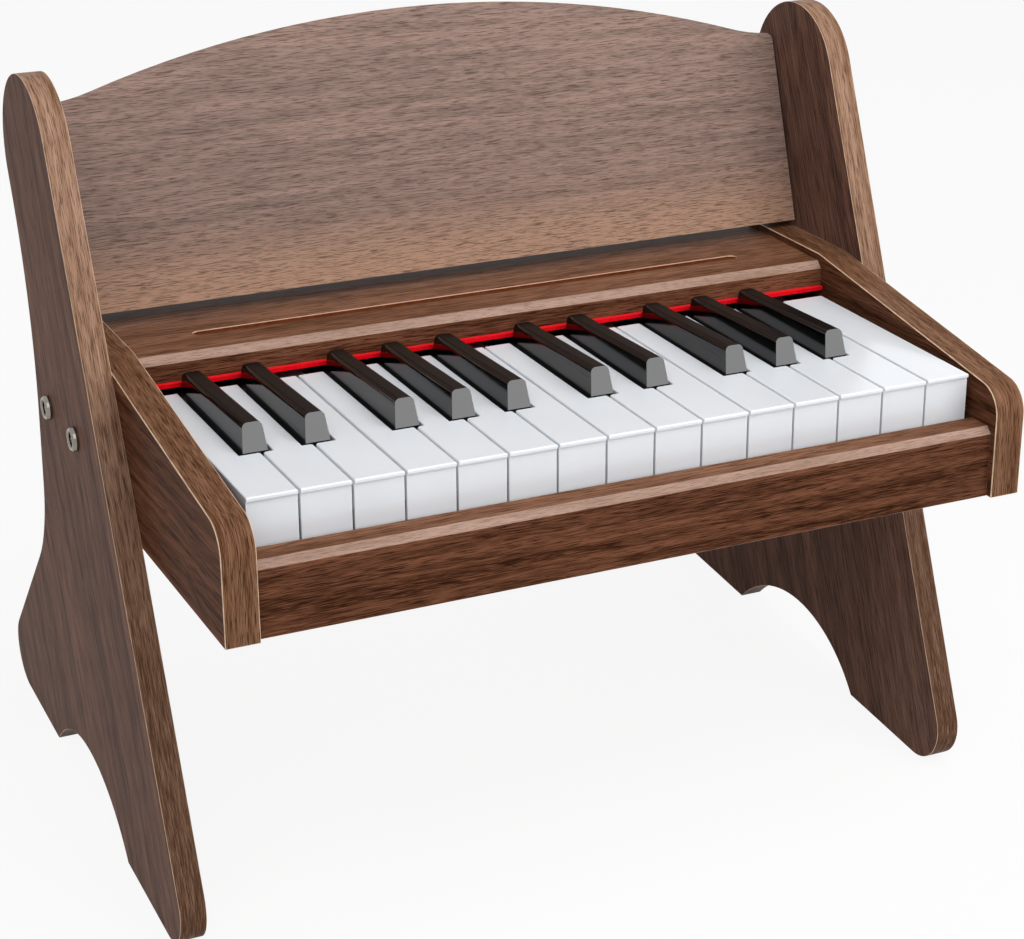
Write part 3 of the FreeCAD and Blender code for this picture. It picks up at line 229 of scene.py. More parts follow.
def wood_print(name, tones, turn, line_mm, cover, roughness, band_mm=5.0, wave_mm=0.0, foot=None):
    """Lacquered wood-print foil: soft bands under thin dark and pale lines, along a grain that may wave a little.
    line_mm is the size of a line along each axis of the turned pattern, band_mm the width of a band, and cover gives
    how far the dark and the pale lines cover it. foot paints a tone towards a board's lower edge, painted shade on
    the leg bands and painted light on the back panel: the edge's height along the pattern's Z, its reach and its
    tone."""
    material, tree, shader, place = new_material(name)
    along = add_node(tree, "ShaderNodeMapping", {"Vector": place, "Rotation": turn}).outputs["Vector"]
    if wave_mm:
        sway = stretched_noise(tree, along, [size * WAVE_LINES for size in line_mm], Detail=1.0)
        shift = add_node(tree, "ShaderNodeMapRange", {
            "Value": sway, "To Min": -wave_mm * MM, "To Max": wave_mm * MM}).outputs["Result"]
        offset = add_node(tree, "ShaderNodeCombineXYZ", {"Y": shift, "Z": shift}).outputs["Vector"]
        along = add_node(tree, "ShaderNodeVectorMath", {0: along, 1: offset}).outputs["Vector"]
    band_size = [max(size * BAND_LINES, band_mm) for size in line_mm]
    bands = stretched_noise(tree, along, band_size, Detail=4.0, Roughness=0.6)
    dark, mid, pale = (rgba(tone) for tone in tones)
    base = add_node(tree, "ShaderNodeValToRGB", {"Fac": bands},
                    tuple(zip(BAND_STOPS, (mid, pale)))).outputs["Color"]
    # The foot's tone is painted shade where it is darker than the board and painted light where it is paler
    if foot:
        edge, reach, painted_foot_tone = foot
        height = add_node(tree, "ShaderNodeSeparateXYZ", {"Vector": along}).outputs["Z"]
        nearness = add_node(tree, "ShaderNodeMapRange", {
            "Value": height, "From Min": edge, "From Max": edge + reach, "To Min": PAINTED_FOOT_COVER, "To Max": 0.0},
            interpolation_type="SMOOTHSTEP").outputs["Result"]
        base = add_node(tree, "ShaderNodeMix", {
            MIX_FACTOR: nearness, MIX_FIRST: base, MIX_SECOND: rgba(painted_foot_tone)},
            data_type="RGBA").outputs[MIX_RESULT]
    lines = stretched_noise(tree, along, line_mm, Detail=2.0, Roughness=0.6)
    for tone, (begin, full), share in zip((dark, pale), (DARK_LINES, PALE_LINES), cover):
        mask = add_node(tree, "ShaderNodeMapRange", {
            "Value": lines, "From Min": begin, "From Max": full, "To Max": share}).outputs["Result"]
        base = add_node(tree, "ShaderNodeMix", {
            MIX_FACTOR: mask, MIX_FIRST: base, MIX_SECOND: tone}, data_type="RGBA").outputs[MIX_RESULT]
    sheen = add_node(tree, "ShaderNodeMapRange", {
        "Value": lines, "To Min": roughness - SHEEN_SPREAD, "To Max": roughness + SHEEN_SPREAD})
    bump = add_node(tree, "ShaderNodeBump", {"Height": lines, "Strength": 0.15, "Distance": 0.1 * MM}, invert=True)
    tree.links.new(base, shader.inputs["Base Color"])
    tree.links.new(sheen.outputs["Result"], shader.inputs["Roughness"])
    tree.links.new(bump.outputs["Normal"], shader.inputs["Normal"])
    shader.inputs["Specular IOR Level"].default_value = MATT_SPECULAR
    return material


# Mottle of plain surfaces: noise values of its darkest and its full tone, and shares of the roughness it lies between
MOTTLE_STOPS = (0.35, 0.65)
GLOSS_SHARES = (0.85, 1.15)


def speckled(name, tone, roughness, spot_mm, spread, metallic=0.0, bump_mm=0.02, specular=0.5):
    """A plain surface with a slight mottle in its colour and gloss, as a mould, plating or pressing leaves. The real
    mottle is mostly too fine to show, so spot_mm is as coarse as it needs to show."""
    material, tree, shader, place = new_material(name)
    mottle = stretched_noise(tree, place, (spot_mm,) * 3, Detail=3.0)
    base = add_node(tree, "ShaderNodeValToRGB", {"Fac": mottle},
                    tuple(zip(MOTTLE_STOPS, (rgba(tone, 1 - spread), rgba(tone)))))
    gloss = add_node(tree, "ShaderNodeMapRange", {
        "Value": mottle, "To Min": roughness * GLOSS_SHARES[0], "To Max": roughness * GLOSS_SHARES[1]})
    bump = add_node(tree, "ShaderNodeBump", {"Height": mottle, "Strength": 0.1, "Distance": bump_mm * MM})
    tree.links.new(base.outputs["Color"], shader.inputs["Base Color"])
    tree.links.new(gloss.outputs["Result"], shader.inputs["Roughness"])
    tree.links.new(bump.outputs["Normal"], shader.inputs["Normal"])
    shader.inputs["Metallic"].default_value = metallic
    shader.inputs["Specular IOR Level"].default_value = specular
    return material


# Felt: size of a tuft along each axis in millimetres, because single fibres are too fine to show, the noise values of
# the dark gaps and the full tone, and the share of the tone that the gaps keep
TUFT_MM = (1.6, 0.7, 0.7)
TUFT_STOPS = (0.3, 0.6)
GAP_SHARE = 0.6


def wool_felt(name, tone):
    """Pressed wool felt: matt and fibrous, with a fuzzy sheen at grazing angles."""
    material, tree, shader, place = new_material(name)
    fibres = stretched_noise(tree, place, TUFT_MM, Detail=5.0, Roughness=0.75, Distortion=1.2)
    base = add_node(tree, "ShaderNodeValToRGB", {"Fac": fibres},
                    tuple(zip(TUFT_STOPS, (rgba(tone, GAP_SHARE), rgba(tone)))))
    bump = add_node(tree, "ShaderNodeBump", {"Height": fibres, "Strength": 0.6, "Distance": 0.4 * MM})
    tree.links.new(base.outputs["Color"], shader.inputs["Base Color"])
    tree.links.new(bump.outputs["Normal"], shader.inputs["Normal"])
    shader.inputs["Roughness"].default_value = 0.95
    shader.inputs["Specular IOR Level"].default_value = 0.1
    shader.inputs["Sheen Weight"].default_value = 0.05
    return material


# Corners of a mesh that lie closer than this are one
WELD = 0.002 * MM
# Faces that meet at less than the first angle are one flat face, and shading runs on over edges under the second.
# Edges over the third are a board's corners.
FLAT_ANGLE = math.radians(0.5)
SMOOTH_ANGLE = math.radians(12)
CORNER_ANGLE = math.radians(30)
# Sharp edges shorter than a sliver are closed up. Those up to a hole's step belong to the rims of holes and stay
# sharp, because the bevel's clamp would narrow every other line to them.
SLIVER = 0.15 * MM
HOLE_STEP = 1.2 * MM
# How squarely a face looks along an axis to be a board's face, the top of its piece or a board's bevel, and how
# little a face of the music groove may look up
FACE_ON = 0.7
LEVEL_FACING = 0.9
BEVEL_FACING = 0.97
WALL_FACING = 0.02
# Points this near to each other in height are level, those this near to a board's top are flush with it, and those
# this near to the back panel's end belong to it
SAME_LEVEL = 0.1 * MM
FLUSH = 0.05 * MM
ON_END = 0.01 * MM


def paint(finish, *node_names):
    """Gives CAD nodes their finish."""
    for node_name in node_names:
        data = NODES[node_name].data
        data.materials.clear()
        data.materials.append(finish)


def tilted_axes(lean):
    """The upward and the forward direction of a piece that leans back by an angle."""
    return Vector((0, math.sin(lean), math.cos(lean))), Vector((0, -math.cos(lean), math.sin(lean)))


def extent(corners, axis):
    """The lowest and the highest place of some points along an axis."""
    places = [corner.dot(axis) for corner in corners]
    return min(places), max(places)


def node_corners(node_name):
    """The corners of a CAD node's mesh."""
    return [vertex.co for vertex in NODES[node_name].data.vertices]


def welded(node_name):
    """A copy of a CAD node's mesh with its loose triangles joined."""
    bm = bmesh.new()
    bm.from_mesh(NODES[node_name].data)
    bmesh.ops.remove_doubles(bm, verts=bm.verts, dist=WELD)
    return bm


def finish_piece(bm, name, finishes, node_name, body="case"):
    """Makes a piece from its faces and puts it on a body, in place of a CAD node."""
    mesh = bpy.data.meshes.new(name)
    bm.to_mesh(mesh)
    bm.free()
    for finish in finishes:
        mesh.materials.append(finish)
    mesh.shade_smooth()
    mesh.set_sharp_from_angle(angle=SMOOTH_ANGLE)
    piece = bpy.data.objects.new(name, mesh)
    bpy.context.scene.collection.objects.link(piece)
    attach(piece, body)
    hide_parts(node_name)
    return piece


def topped_copy(node_name, name, finishes, body, up):
    """A copy of a CAD piece whose top takes the second finish."""
    bm = welded(node_name)
    for face in bm.faces:
        face.material_index = int(face.normal.dot(up) > LEVEL_FACING)
    finish_piece(bm, name, finishes, node_name, body)


def sharp_edges(bm, shortest, longest):
    """The sharp edges whose length lies between two limits."""
    return [edge for edge in bm.edges if len(edge.link_faces) == 2 and shortest < edge.calc_length() < longest
            and edge.calc_face_angle() > CORNER_ANGLE]


def dressed_copy(node_name, name, line, finishes, choose, reshape=None):
    """A copy of a CAD piece on the case with several finishes, its sharp corners eased to a narrow line. The last
    finish is for the corner lines, choose gives the number of a face's finish, and reshape changes the copy first."""
    bm = welded(node_name)
    bmesh.ops.dissolve_limit(bm, angle_limit=FLAT_ANGLE, verts=bm.verts, edges=bm.edges)
    bmesh.ops.collapse(bm, edges=sharp_edges(bm, 0.0, SLIVER))
    if reshape:
        reshape(bm)
    for face in bm.faces:
        face.material_index = choose(face)
    bmesh.ops.bevel(bm, geom=sharp_edges(bm, HOLE_STEP, math.inf), offset=line, offset_type="OFFSET", affect="EDGES",
                    segments=2, profile=0.5, clamp_overlap=True, material=len(finishes) - 1)
    finish_piece(bm, name, finishes, node_name)


def foil_or_band(axis):
    """Chooses the first finish for a board's two faces, which look along an axis, and the second for its edges."""
    return lambda face: int(abs(face.normal.dot(axis)) <= FACE_ON)


def islands(bm):
    """The groups of vertices that hang together."""
    left = set(bm.verts)
    groups = []
    while left:
        group = {left.pop()}
        border = list(group)
        while border:
            vertex = border.pop()
            near = {edge.other_vert(vertex) for edge in vertex.link_edges} & left
            left -= near
            group |= near
            border += near
        groups.append(group)
    return groups


def spin_section(bm, section, centre, axis, steps):
    """Turns a line of points fully round an axis, and gives the faces that this makes."""
    before = set(bm.faces)
    rim = [bm.verts.new(point) for point in section]
    profile = [bm.edges.new(pair) for pair in zip(rim, rim[1:])]
    bmesh.ops.spin(bm, geom=rim + profile, cent=centre, axis=axis, angle=2 * math.pi, steps=steps, use_merge=True)
    return set(bm.faces) - before


def close_up(bm):
    """Joins the seams and poles of turned shapes and points their faces outwards."""
    bmesh.ops.remove_doubles(bm, verts=bm.verts, dist=WELD)
    bmesh.ops.recalc_face_normals(bm, faces=bm.faces)


# A bolt's section, as shares of its head's radius and rise: a domed middle, a ring groove and a rounded rim
BOLT_SECTION = ((0.0, 0.84), (0.16, 0.8), (0.26, 0.62), (0.32, 0.28), (0.58, 0.28), (0.66, 0.75), (0.75, 0.97),
                (0.86, 0.95), (0.95, 0.75), (1.0, 0.4), (1.0, 0.0), (0.53, 0.0))
BOLT_STEPS = 48
# Shares of the radius between which the groove lies, and half the width of the cross; both are painted nearly black
# as shade
GROOVE_SHARES = (0.27, 0.68)
CROSS_SHARE = 0.09


def turned_bolts(finishes):
    """The leg bolts turned afresh on the CAD bolts' axes, with a ring groove and a cross recess in the second finish,
    a near black that is painted shade."""
    leg_face = extent(node_corners("right_leg_panel"), ACROSS)[1]
    cad = welded("leg_bolts")
    bm = bmesh.new()
    for group in islands(cad):
        corners = [vertex.co for vertex in group]
        outward = math.copysign(1.0, corners[0].x)
        inner, outer = extent(corners, outward * ACROSS)
        near, far = extent(corners, Vector((0, 1, 0)))
        low, high = extent(corners, Vector((0, 0, 1)))
        radius = (high - low) / 2
        rise = outer - leg_face
        tip = inner - leg_face
        centre = Vector((outward * leg_face, (far + near) / 2, (high + low) / 2))
        section = [(share * radius, up * rise) for share, up in BOLT_SECTION]
        section += [(section[-1][0], tip), (0.0, tip)]
        points = [centre + Vector((outward * up, 0, out)) for out, up in section]
        for face in spin_section(bm, points, centre, ACROSS, BOLT_STEPS):
            away = face.calc_center_median() - centre
            out = math.hypot(away.y, away.z) / radius
            cross = out < GROOVE_SHARES[0] and min(abs(away.y), abs(away.z)) < CROSS_SHARE * radius
            head = outward * away.x > 0
            face.material_index = int(head and (cross or GROOVE_SHARES[0] < out < GROOVE_SHARES[1]))
    cad.free()
    close_up(bm)
    finish_piece(bm, "plated_leg_bolts", finishes, "leg_bolts")


# A rubber dome's section, as shares of its half width and rise: a plunger with a rounded rim, a sloping wall and a
# flange that goes a little into the mat
DOME_SECTION = ((0.0, 1.0), (0.5, 1.0), (0.56, 0.96), (0.58, 0.88), (0.6, 0.62), (0.92, 0.12), (1.0, 0.08),
                (1.0, -0.05), (0.0, -0.05))
DOME_STEPS = 24


def rubber_domes(silicone, pitch):
    """The contact strip as a thin mat with a dome under each key."""
    up, ahead = tilted_axes(pitch)
    axes = (ACROSS, -ahead, up)
    cad = welded("rubber_contact_strip")
    bmesh.ops.dissolve_limit(cad, angle_limit=FLAT_ANGLE, verts=cad.verts, edges=cad.edges)
    corners = [vertex.co for vertex in cad.verts]
    sides, depths, (floor, height) = (extent(corners, axis) for axis in axes)
    mat_top = max(corner.dot(up) for corner in corners if corner.dot(up) < height - SAME_LEVEL)
    tops = [face for face in cad.faces if height - face.calc_center_median().dot(up) < SAME_LEVEL]
    domes = [(face.calc_center_median(), max(vertex.co.x for vertex in face.verts)) for face in tops]
    cad.free()
    ends = (sides, depths, (floor, mat_top))
    middle = sum((axis * (low + high) / 2 for axis, (low, high) in zip(axes, ends)), Vector())
    spans = [axis * (high - low) for axis, (low, high) in zip(axes, ends)]
    bm = bmesh.new()
    bmesh.ops.create_cube(bm, size=1.0, matrix=Matrix.Translation(middle) @ Matrix(spans).transposed().to_4x4())
    finish_piece(bm, "rubber_contact_mat", (silicone,), "rubber_contact_strip")
    hinges = [joint for joint in frame["record"]["behaviour"]["joints"] if joint["type"] == "hinge"]
    rise = height - mat_top
    for top, edge in domes:
        joint = min(hinges, key=lambda hinge: abs(hinge["pos_m"][0] - top.x))
        base = top - rise * up
        bm = bmesh.new()
        points = [base + ACROSS * out * (edge - top.x) + up * share * rise for out, share in DOME_SECTION]
        spin_section(bm, points, base, up, DOME_STEPS)
        close_up(bm)
        dome = finish_piece(bm, f"{joint['child']}_dome", (silicone,), "rubber_contact_strip")
        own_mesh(dome)


# Numbers of the finishes on the key slip and the top board
FRONT, BEVEL, GROOVE, TOP, RIM = range(5)


def part_of_board(node_name, sizes):
    """Chooses the finish of a face of the key slip or the top board."""
    up, ahead = tilted_axes(sizes.case_pitch)
    slanted = (up + ahead).normalized()
    front = extent(node_corners(node_name), ahead)[1]
    height = extent(node_corners(node_name), up)[1]

    def choose(face):
        """The number of a face's finish."""
        middle = face.calc_center_median()
        if face.normal.dot(slanted) > BEVEL_FACING and middle.dot(ahead) > front - sizes.bevel_reach:
            return BEVEL
        if node_name == "key_slip":
            return TOP if face.normal.dot(up) > LEVEL_FACING else FRONT
        depth = height - middle.dot(up)
        if depth < FLUSH:
            return TOP
        if face.normal.dot(up) < WALL_FACING:
            return FRONT
        return RIM if depth < sizes.groove_rim else GROOVE

    return choose


def settings_of(context):
    """Sizes and colours that the user may change."""
    return context.scene.piano_sizes, context.scene.piano_colours


def grain_tones(colours, board):
    """The dark, the middle and the pale tone of a board's grain."""
    return [getattr(colours, f"{board}_{shade}") for shade in ("dark", "mid", "pale")]


def corner_line(colours):
    """The edge band's core, bare where a cutter has trimmed it at a corner: a thin pale line."""
    found = bpy.data.materials.get("trimmed_band_corner")
    return found or speckled("trimmed_band_corner", colours.corner, roughness=0.45, spot_mm=6.0, spread=0.35)


class PIANO_OT_legs(bpy.types.Operator):
    """Finishes the two leg boards with foil on their faces and bands on their edges"""
    bl_idname = "piano.legs"
    bl_label = "Leg boards"

    def execute(self, context):
        sizes, colours = settings_of(context)
        # Printed foil under satin lacquer: fine lines and hardly a highlight. Its grain stands along the leg's
        # leaning front edge, so the pattern's X is turned up to it.
        foil = wood_print("walnut_foil_leg", grain_tones(colours, "leg"), turn=(sizes.leg_lean, QUARTER_TURN, 0),
                          line_mm=(16, 0.32, 0.32), cover=(0.8, 0.6), roughness=0.5, band_mm=8.0)
        # Printed band glued round the edge: paler and streaked along its length, with painted shade that darkens it
        # towards the floor
        band = wood_print("walnut_edge_band_leg", grain_tones(colours, "band"), turn=UNTURNED, line_mm=(0.3, 9, 9),
                          cover=(0.75, 0.4), roughness=0.42, band_mm=3.0,
                          foot=(0.0, sizes.painted_shade_height, colours.band_painted_shade))
        finishes = (foil, band, corner_line(colours))
        for side in SIDES:
            dressed_copy(f"{side}_leg_panel", f"{side}_leg_board", sizes.edge_line, finishes,
                         foil_or_band(ACROSS))
        return {"FINISHED"}


class PIANO_OT_back_panel(bpy.types.Operator):
    """Finishes the leaning back panel with level grain and a banded top edge"""
    bl_idname = "piano.back_panel"
    bl_label = "Back panel"

    def execute(self, context):
        sizes, colours = settings_of(context)
        slope, ahead = tilted_axes(sizes.panel_lean)
        turn = (sizes.panel_lean, 0, 0)
        foot = extent(node_corners("back_panel"), slope)[0]
        # Greyish printed foil: short level lines that wave a little, and a paler, warmer foot of painted light, as of
        # light bounced up onto it
        foil = wood_print("walnut_foil_panel", grain_tones(colours, "panel"), turn, line_mm=(8, 0.28, 0.28),
                          cover=(0.75, 0.3), roughness=0.5, band_mm=3.5, wave_mm=1.4,
                          foot=(foot, sizes.painted_light_height, colours.panel_painted_light))
        # Printed band along the crown: paler streaks that follow the edge
        band = wood_print("walnut_edge_band_panel", grain_tones(colours, "band"), turn, line_mm=(9, 0.3, 9),
                          cover=(0.75, 0.4), roughness=0.42)

        def free_ends(bm):
            """Draws the panel's ends in from the legs and rounds their upper corners."""
            reach = max(vertex.co.x for vertex in bm.verts)
            ends = [vertex for vertex in bm.verts if abs(vertex.co.x) > reach - ON_END]
            for vertex in ends:
                vertex.co.x -= math.copysign(sizes.panel_gap, vertex.co.x)
            top = max(vertex.co.dot(slope) for vertex in ends)
            high = {vertex for vertex in ends if vertex.co.dot(slope) > top - SAME_LEVEL}
            corners = [edge for edge in bm.edges if high.issuperset(edge.verts)]
            bmesh.ops.bevel(bm, geom=corners, offset=sizes.panel_round, offset_type="OFFSET", affect="EDGES",
                            segments=5, profile=0.5, clamp_overlap=True, material=-1)

        dressed_copy("back_panel", "crowned_back_panel", sizes.panel_line, (foil, band, foil),
                     foil_or_band(ahead), free_ends)
        return {"FINISHED"}


class PIANO_OT_case(bpy.types.Operator):
    """Finishes the cheeks, the key slip, the top board, the rear board and the bottom board"""
    bl_idname = "piano.case"
    bl_label = "Key case"

    def execute(self, context):
        sizes, colours = settings_of(context)
        pitch = sizes.case_pitch
        turn = (pitch, 0, 0)
        # Darker printed foil: strong red-brown grain from side to side
        level = wood_print("walnut_foil_case", grain_tones(colours, "case"), turn, line_mm=(10, 0.3, 0.3),
                           cover=(0.8, 0.75), roughness=0.46, wave_mm=1.8)
        # The same foil on the top board and the key slip's top: broader lines, and paler tones that are painted light
        # because they face the lamps
        top = wood_print("walnut_foil_top_board", grain_tones(colours, "board"), turn, line_mm=(14, 0.8, 0.4),
                         cover=(0.75, 0.45), roughness=0.46, wave_mm=1.8)
        # The same foil on the cheeks, with its grain from front to back
        deep = wood_print("walnut_foil_cheek", grain_tones(colours, "case"), turn=(pitch, 0, QUARTER_TURN),
                          line_mm=(14, 0.32, 0.32), cover=(0.75, 0.5), roughness=0.48, wave_mm=2.5)
        # Printed band round the cheeks: strong dark and pale streaks along its length
        band = wood_print("walnut_edge_band_cheek", grain_tones(colours, "cheek"), turn=UNTURNED,
                          line_mm=(0.3, 9, 9), cover=(0.85, 0.7), roughness=0.42, band_mm=3.0)
        # Foil wrapped round a milled bevel: the same foil, painted pale and greyish as painted light because the
        # bevel faces the lamps
        bevel = wood_print("bevelled_foil_edge", grain_tones(colours, "bevel"), turn, line_mm=(6, 0.3, 0.3),
                           cover=(0.55, 0.3), roughness=0.48)
        finishes = (deep, band, corner_line(colours))
        for side in SIDES:
            dressed_copy(f"{side}_cheek", f"{side}_cheek_board", sizes.cheek_line, finishes,
                         foil_or_band(ACROSS))
        # Bare fibreboard as the router leaves it, red-brown and dry and darkened further as painted shade, under the
        # foil's pale cut edge, which is painted paler still as a highlight
        groove = speckled("routed_groove", colours.groove, roughness=0.8, spot_mm=3.0, spread=0.3,
                          specular=MATT_SPECULAR)
        rim = speckled("trimmed_groove_rim", colours.rim, roughness=0.8, spot_mm=3.0, spread=0.15,
                       specular=MATT_SPECULAR)
        for node_name, name in (("key_slip", "key_slip_board"), ("top_board", "grooved_top_board")):
            dressed_copy(node_name, name, sizes.case_line, (level, bevel, groove, top, rim, bevel),
                         part_of_board(node_name, sizes))
        # Melamine-faced board with faint grain on the rear board's top, a flat dark grey that is painted shade where
        # it shows in the gap under the back panel; its other faces take the case foil
        rear = wood_print("brown_melamine", grain_tones(colours, "rear"), turn, line_mm=(10, 0.3, 0.3),
                          cover=(0.6, 0.2), roughness=0.5)
        topped_copy("rear_board", "foiled_rear_board", (level, rear), "case", tilted_axes(pitch)[0])
        # Pressed hardboard: brown, matt and a little fibrous
        paint(speckled("pressed_hardboard", linear("#6B4A33"), roughness=0.7, spot_mm=3.0, spread=0.3, bump_mm=0.2),
              "bottom_board")
        return {"FINISHED"}


class PIANO_OT_keys(bpy.types.Operator):
    """Finishes the keys in glossy moulded plastic, with satin tops on the black ones"""
    bl_idname = "piano.keys"
    bl_label = "Keys"

    def execute(self, context):
        sizes, colours = settings_of(context)
        # ABS from a polished mould: glossy, with clear soft reflections of the lamps
        white = speckled("white_moulded_abs", colours.white_key, roughness=0.16, spot_mm=40.0, spread=0.03)
        black = speckled("black_moulded_abs", colours.black_key, roughness=0.1, spot_mm=40.0, spread=0.1)
        # The same ABS from an etched face of the mould: it mirrors little and stays dark
        satin = speckled("black_satin_abs", colours.black_key, roughness=0.35, spot_mm=0.6, spread=0.2,
                         specular=0.08)
        paint(white, *WHITE_KEYS)
        up = tilted_axes(sizes.case_pitch)[0]
        for name in BLACK_KEYS:
            topped_copy(name, f"{name}_moulding", (black, satin), name, up)
        return {"FINISHED"}


class PIANO_OT_felts(bpy.types.Operator):
    """Finishes the red felt behind the keys and the grey stop felts under them"""
    bl_idname = "piano.felts"
    bl_label = "Felts"

    def execute(self, context):
        # Pressed wool, dyed: a soft bright line without a highlight
        paint(wool_felt("red_wool_felt", context.scene.piano_colours.felt), "red_felt_strip")
        # Pressed wool, undyed: soft and grey
        paint(wool_felt("grey_wool_felt", linear("#8A8A8C")), "key_down_felt", "key_rest_felt")
        return {"FINISHED"}


class PIANO_OT_fittings(bpy.types.Operator):
    """Finishes the bolts, inserts, screws, dowels and the pivot rod"""
    bl_idname = "piano.fittings"
    bl_label = "Fittings"

    def execute(self, context):
        colours = context.scene.piano_colours
        # Nickel plate on turned steel: a warm grey shine. The ring groove and the cross recess are painted nearly
        # black as shade.
        nickel = speckled("nickel_plate", colours.nickel, roughness=0.16, spot_mm=4.0, spread=0.15, metallic=1.0)
        recess = speckled("blackened_recess", colours.recess, roughness=0.5, spot_mm=1.0, spread=0.2, metallic=1.0)
        turned_bolts((nickel, recess))
        paint(nickel, "bottom_screws", "battery_contacts")
        # Turned brass: yellow with a soft shine
        paint(speckled("turned_brass", linear("#C2A05A"), roughness=0.3, spot_mm=3.0, spread=0.2, metallic=1.0),
              "threaded_inserts")
        # Drawn steel: pale grey with a soft shine
        paint(speckled("drawn_steel", linear("#B4B5B8"), roughness=0.28, spot_mm=5.0, spread=0.15, metallic=1.0),
              "pivot_rod")
        # Turned beech, dry and pale; the dowels that show in the gap beside the back panel are painted dark as shade
        for name, tone, node_name in (("unfinished_beech", "#C9A679", "case_dowels"),
                                      ("stained_beech", "#3E2A20", "panel_dowels")):
            paint(speckled(name, linear(tone), roughness=0.75, spot_mm=2.0, spread=0.25, bump_mm=0.1), node_name)
        return {"FINISHED"}


class PIANO_OT_electronics(bpy.types.Operator):
    """Finishes the key frame, the circuit boards, the rubber domes, the speaker, the battery box and the switch"""
    bl_idname = "piano.electronics"
    bl_label = "Electronics"

    def execute(self, context):
        # ABS from an etched mould: dull black with a fine grain
        paint(speckled("black_textured_abs", linear("#232325"), roughness=0.55, spot_mm=0.8, spread=0.2, bump_mm=0.1),
              "key_frame", "battery_box", "battery_door", "board_posts", "switch_housing")
        # ABS from a plain mould: off-white with a soft shine
        paint(speckled("pale_moulded_abs", linear("#D9D8D2"), roughness=0.4, spot_mm=2.0, spread=0.08), "switch_knob")
        # Solder mask on glass-fibre board: green with a soft shine
        paint(speckled("solder_masked_board", linear("#1F6B3A"), roughness=0.4, spot_mm=2.5, spread=0.25),
              "contact_board", "main_board")
        # Moulded silicone rubber: grey and dull
        rubber_domes(speckled("silicone_rubber", linear("#A9ABAF"), roughness=0.6, spot_mm=2.0, spread=0.1),
                     context.scene.piano_sizes.case_pitch)
        # Stamped steel: mid grey with a dull shine
        paint(speckled("stamped_steel", linear("#8E9094"), roughness=0.4, spot_mm=4.0, spread=0.15, metallic=1.0),
              "speaker_basket")
        # Pressed, coated paper: black, dry and fibrous
        paint(speckled("coated_paper", linear("#1B1B1C"), roughness=0.8, spot_mm=1.5, spread=0.3, bump_mm=0.2),
              "speaker_cone")
        # Sintered ferrite: dark grey and dull, as stone is
        paint(speckled("sintered_ferrite", linear("#3A3A3D"), roughness=0.6, spot_mm=1.5, spread=0.2, bump_mm=0.1),
              "speaker_magnet")
        # Painted steel: dark, smooth and shiny
        paint(speckled("painted_steel_jacket", linear("#3C3D44"), roughness=0.3, spot_mm=6.0, spread=0.1),
              "battery_cells")
        return {"FINISHED"}


# Soft lamps: power in watts, width and height in metres, place, and the point that each faces
LAMPS = {
    "top_light": (6.6, 0.9, 0.9, (0.15, -0.4, 1.05), (0, 0.05, 0.25)),
    "left_light": (11.0, 1.6, 1.6, (-1.1, -1.2, 1.8), (0, 0, 0.2)),
    "right_light": (5.2, 1.2, 1.2, (1.2, -1.1, 1.4), (0, 0, 0.2)),
    "front_light": (5.2, 1.3, 0.26, (0.9, -2.0, 0.665), (0, -0.05, 0.22)),
}
# Strength of the white surroundings as light on the object; where they are seen they have full strength
SURROUND_LIGHT = 0.3
# Share of its own white in the floor where it is seen; the rest is paper under the lamps, which keeps the shadow
FLOOR_GLOW = 0.9


def add_lamp(scene, name, power, width, height, place, target):
    """A rectangular soft lamp that faces a point."""
    data = bpy.data.lights.new(name, "AREA")
    data.energy = power
    data.shape = "RECTANGLE"
    data.size = width
    data.size_y = height
    lamp = bpy.data.objects.new(name, data)
    lamp.location = place
    lamp.rotation_euler = (Vector(target) - Vector(place)).to_track_quat("-Z", "Y").to_euler()
    scene.collection.objects.link(lamp)


def seen_directly(tree):
    """One for camera, mirror and glass rays, and nought for light that falls on the object."""
    path = add_node(tree, "ShaderNodeLightPath")
    seen = path.outputs["Is Camera Ray"]
    for ray in ("Is Glossy Ray", "Is Transmission Ray"):
        seen = add_node(tree, "ShaderNodeMath", {0: seen, 1: path.outputs[ray]},
                        operation="MAXIMUM").outputs["Value"]
    return seen


def add_surroundings(scene, tone):
    """White surroundings that are seen at full strength and light the object less."""
    scene.world = bpy.data.worlds.new("studio")
    scene.world.use_nodes = True
    tree = scene.world.node_tree
    background = tree.nodes["Background"]
    strength = add_node(tree, "ShaderNodeMapRange", {
        "Value": seen_directly(tree), "To Min": SURROUND_LIGHT, "To Max": 1.0})
    tree.links.new(strength.outputs["Result"], background.inputs["Strength"])
    background.inputs["Color"].default_value = rgba(tone)


def add_floor(scene, reach, tone):
    """A floor of matt white paper, which looks nearly white and keeps a soft shadow."""
    bm = bmesh.new()
    bmesh.ops.create_grid(bm, x_segments=1, y_segments=1, size=reach)
    mesh = bpy.data.meshes.new("floor")
    bm.to_mesh(mesh)
    bm.free()
    floor = bpy.data.objects.new("floor", mesh)
    scene.collection.objects.link(floor)
    material, tree, shader, _ = new_material("matt_white_paper")
    shader.inputs["Base Color"].default_value = rgba(linear("#F4F4F4"))
    shader.inputs["Roughness"].default_value = 0.9
    glow = add_node(tree, "ShaderNodeEmission", {"Color": rgba(tone)})
    share = add_node(tree, "ShaderNodeMath", {0: seen_directly(tree), 1: FLOOR_GLOW}, operation="MULTIPLY")
    paper = add_node(tree, "ShaderNodeMixShader", {
        0: share.outputs["Value"], 1: shader.outputs["BSDF"], 2: glow.outputs["Emission"]})
    output = next(node for node in tree.nodes if node.type == "OUTPUT_MATERIAL")
    tree.links.new(paper.outputs["Shader"], output.inputs["Surface"])
    mesh.materials.append(material)


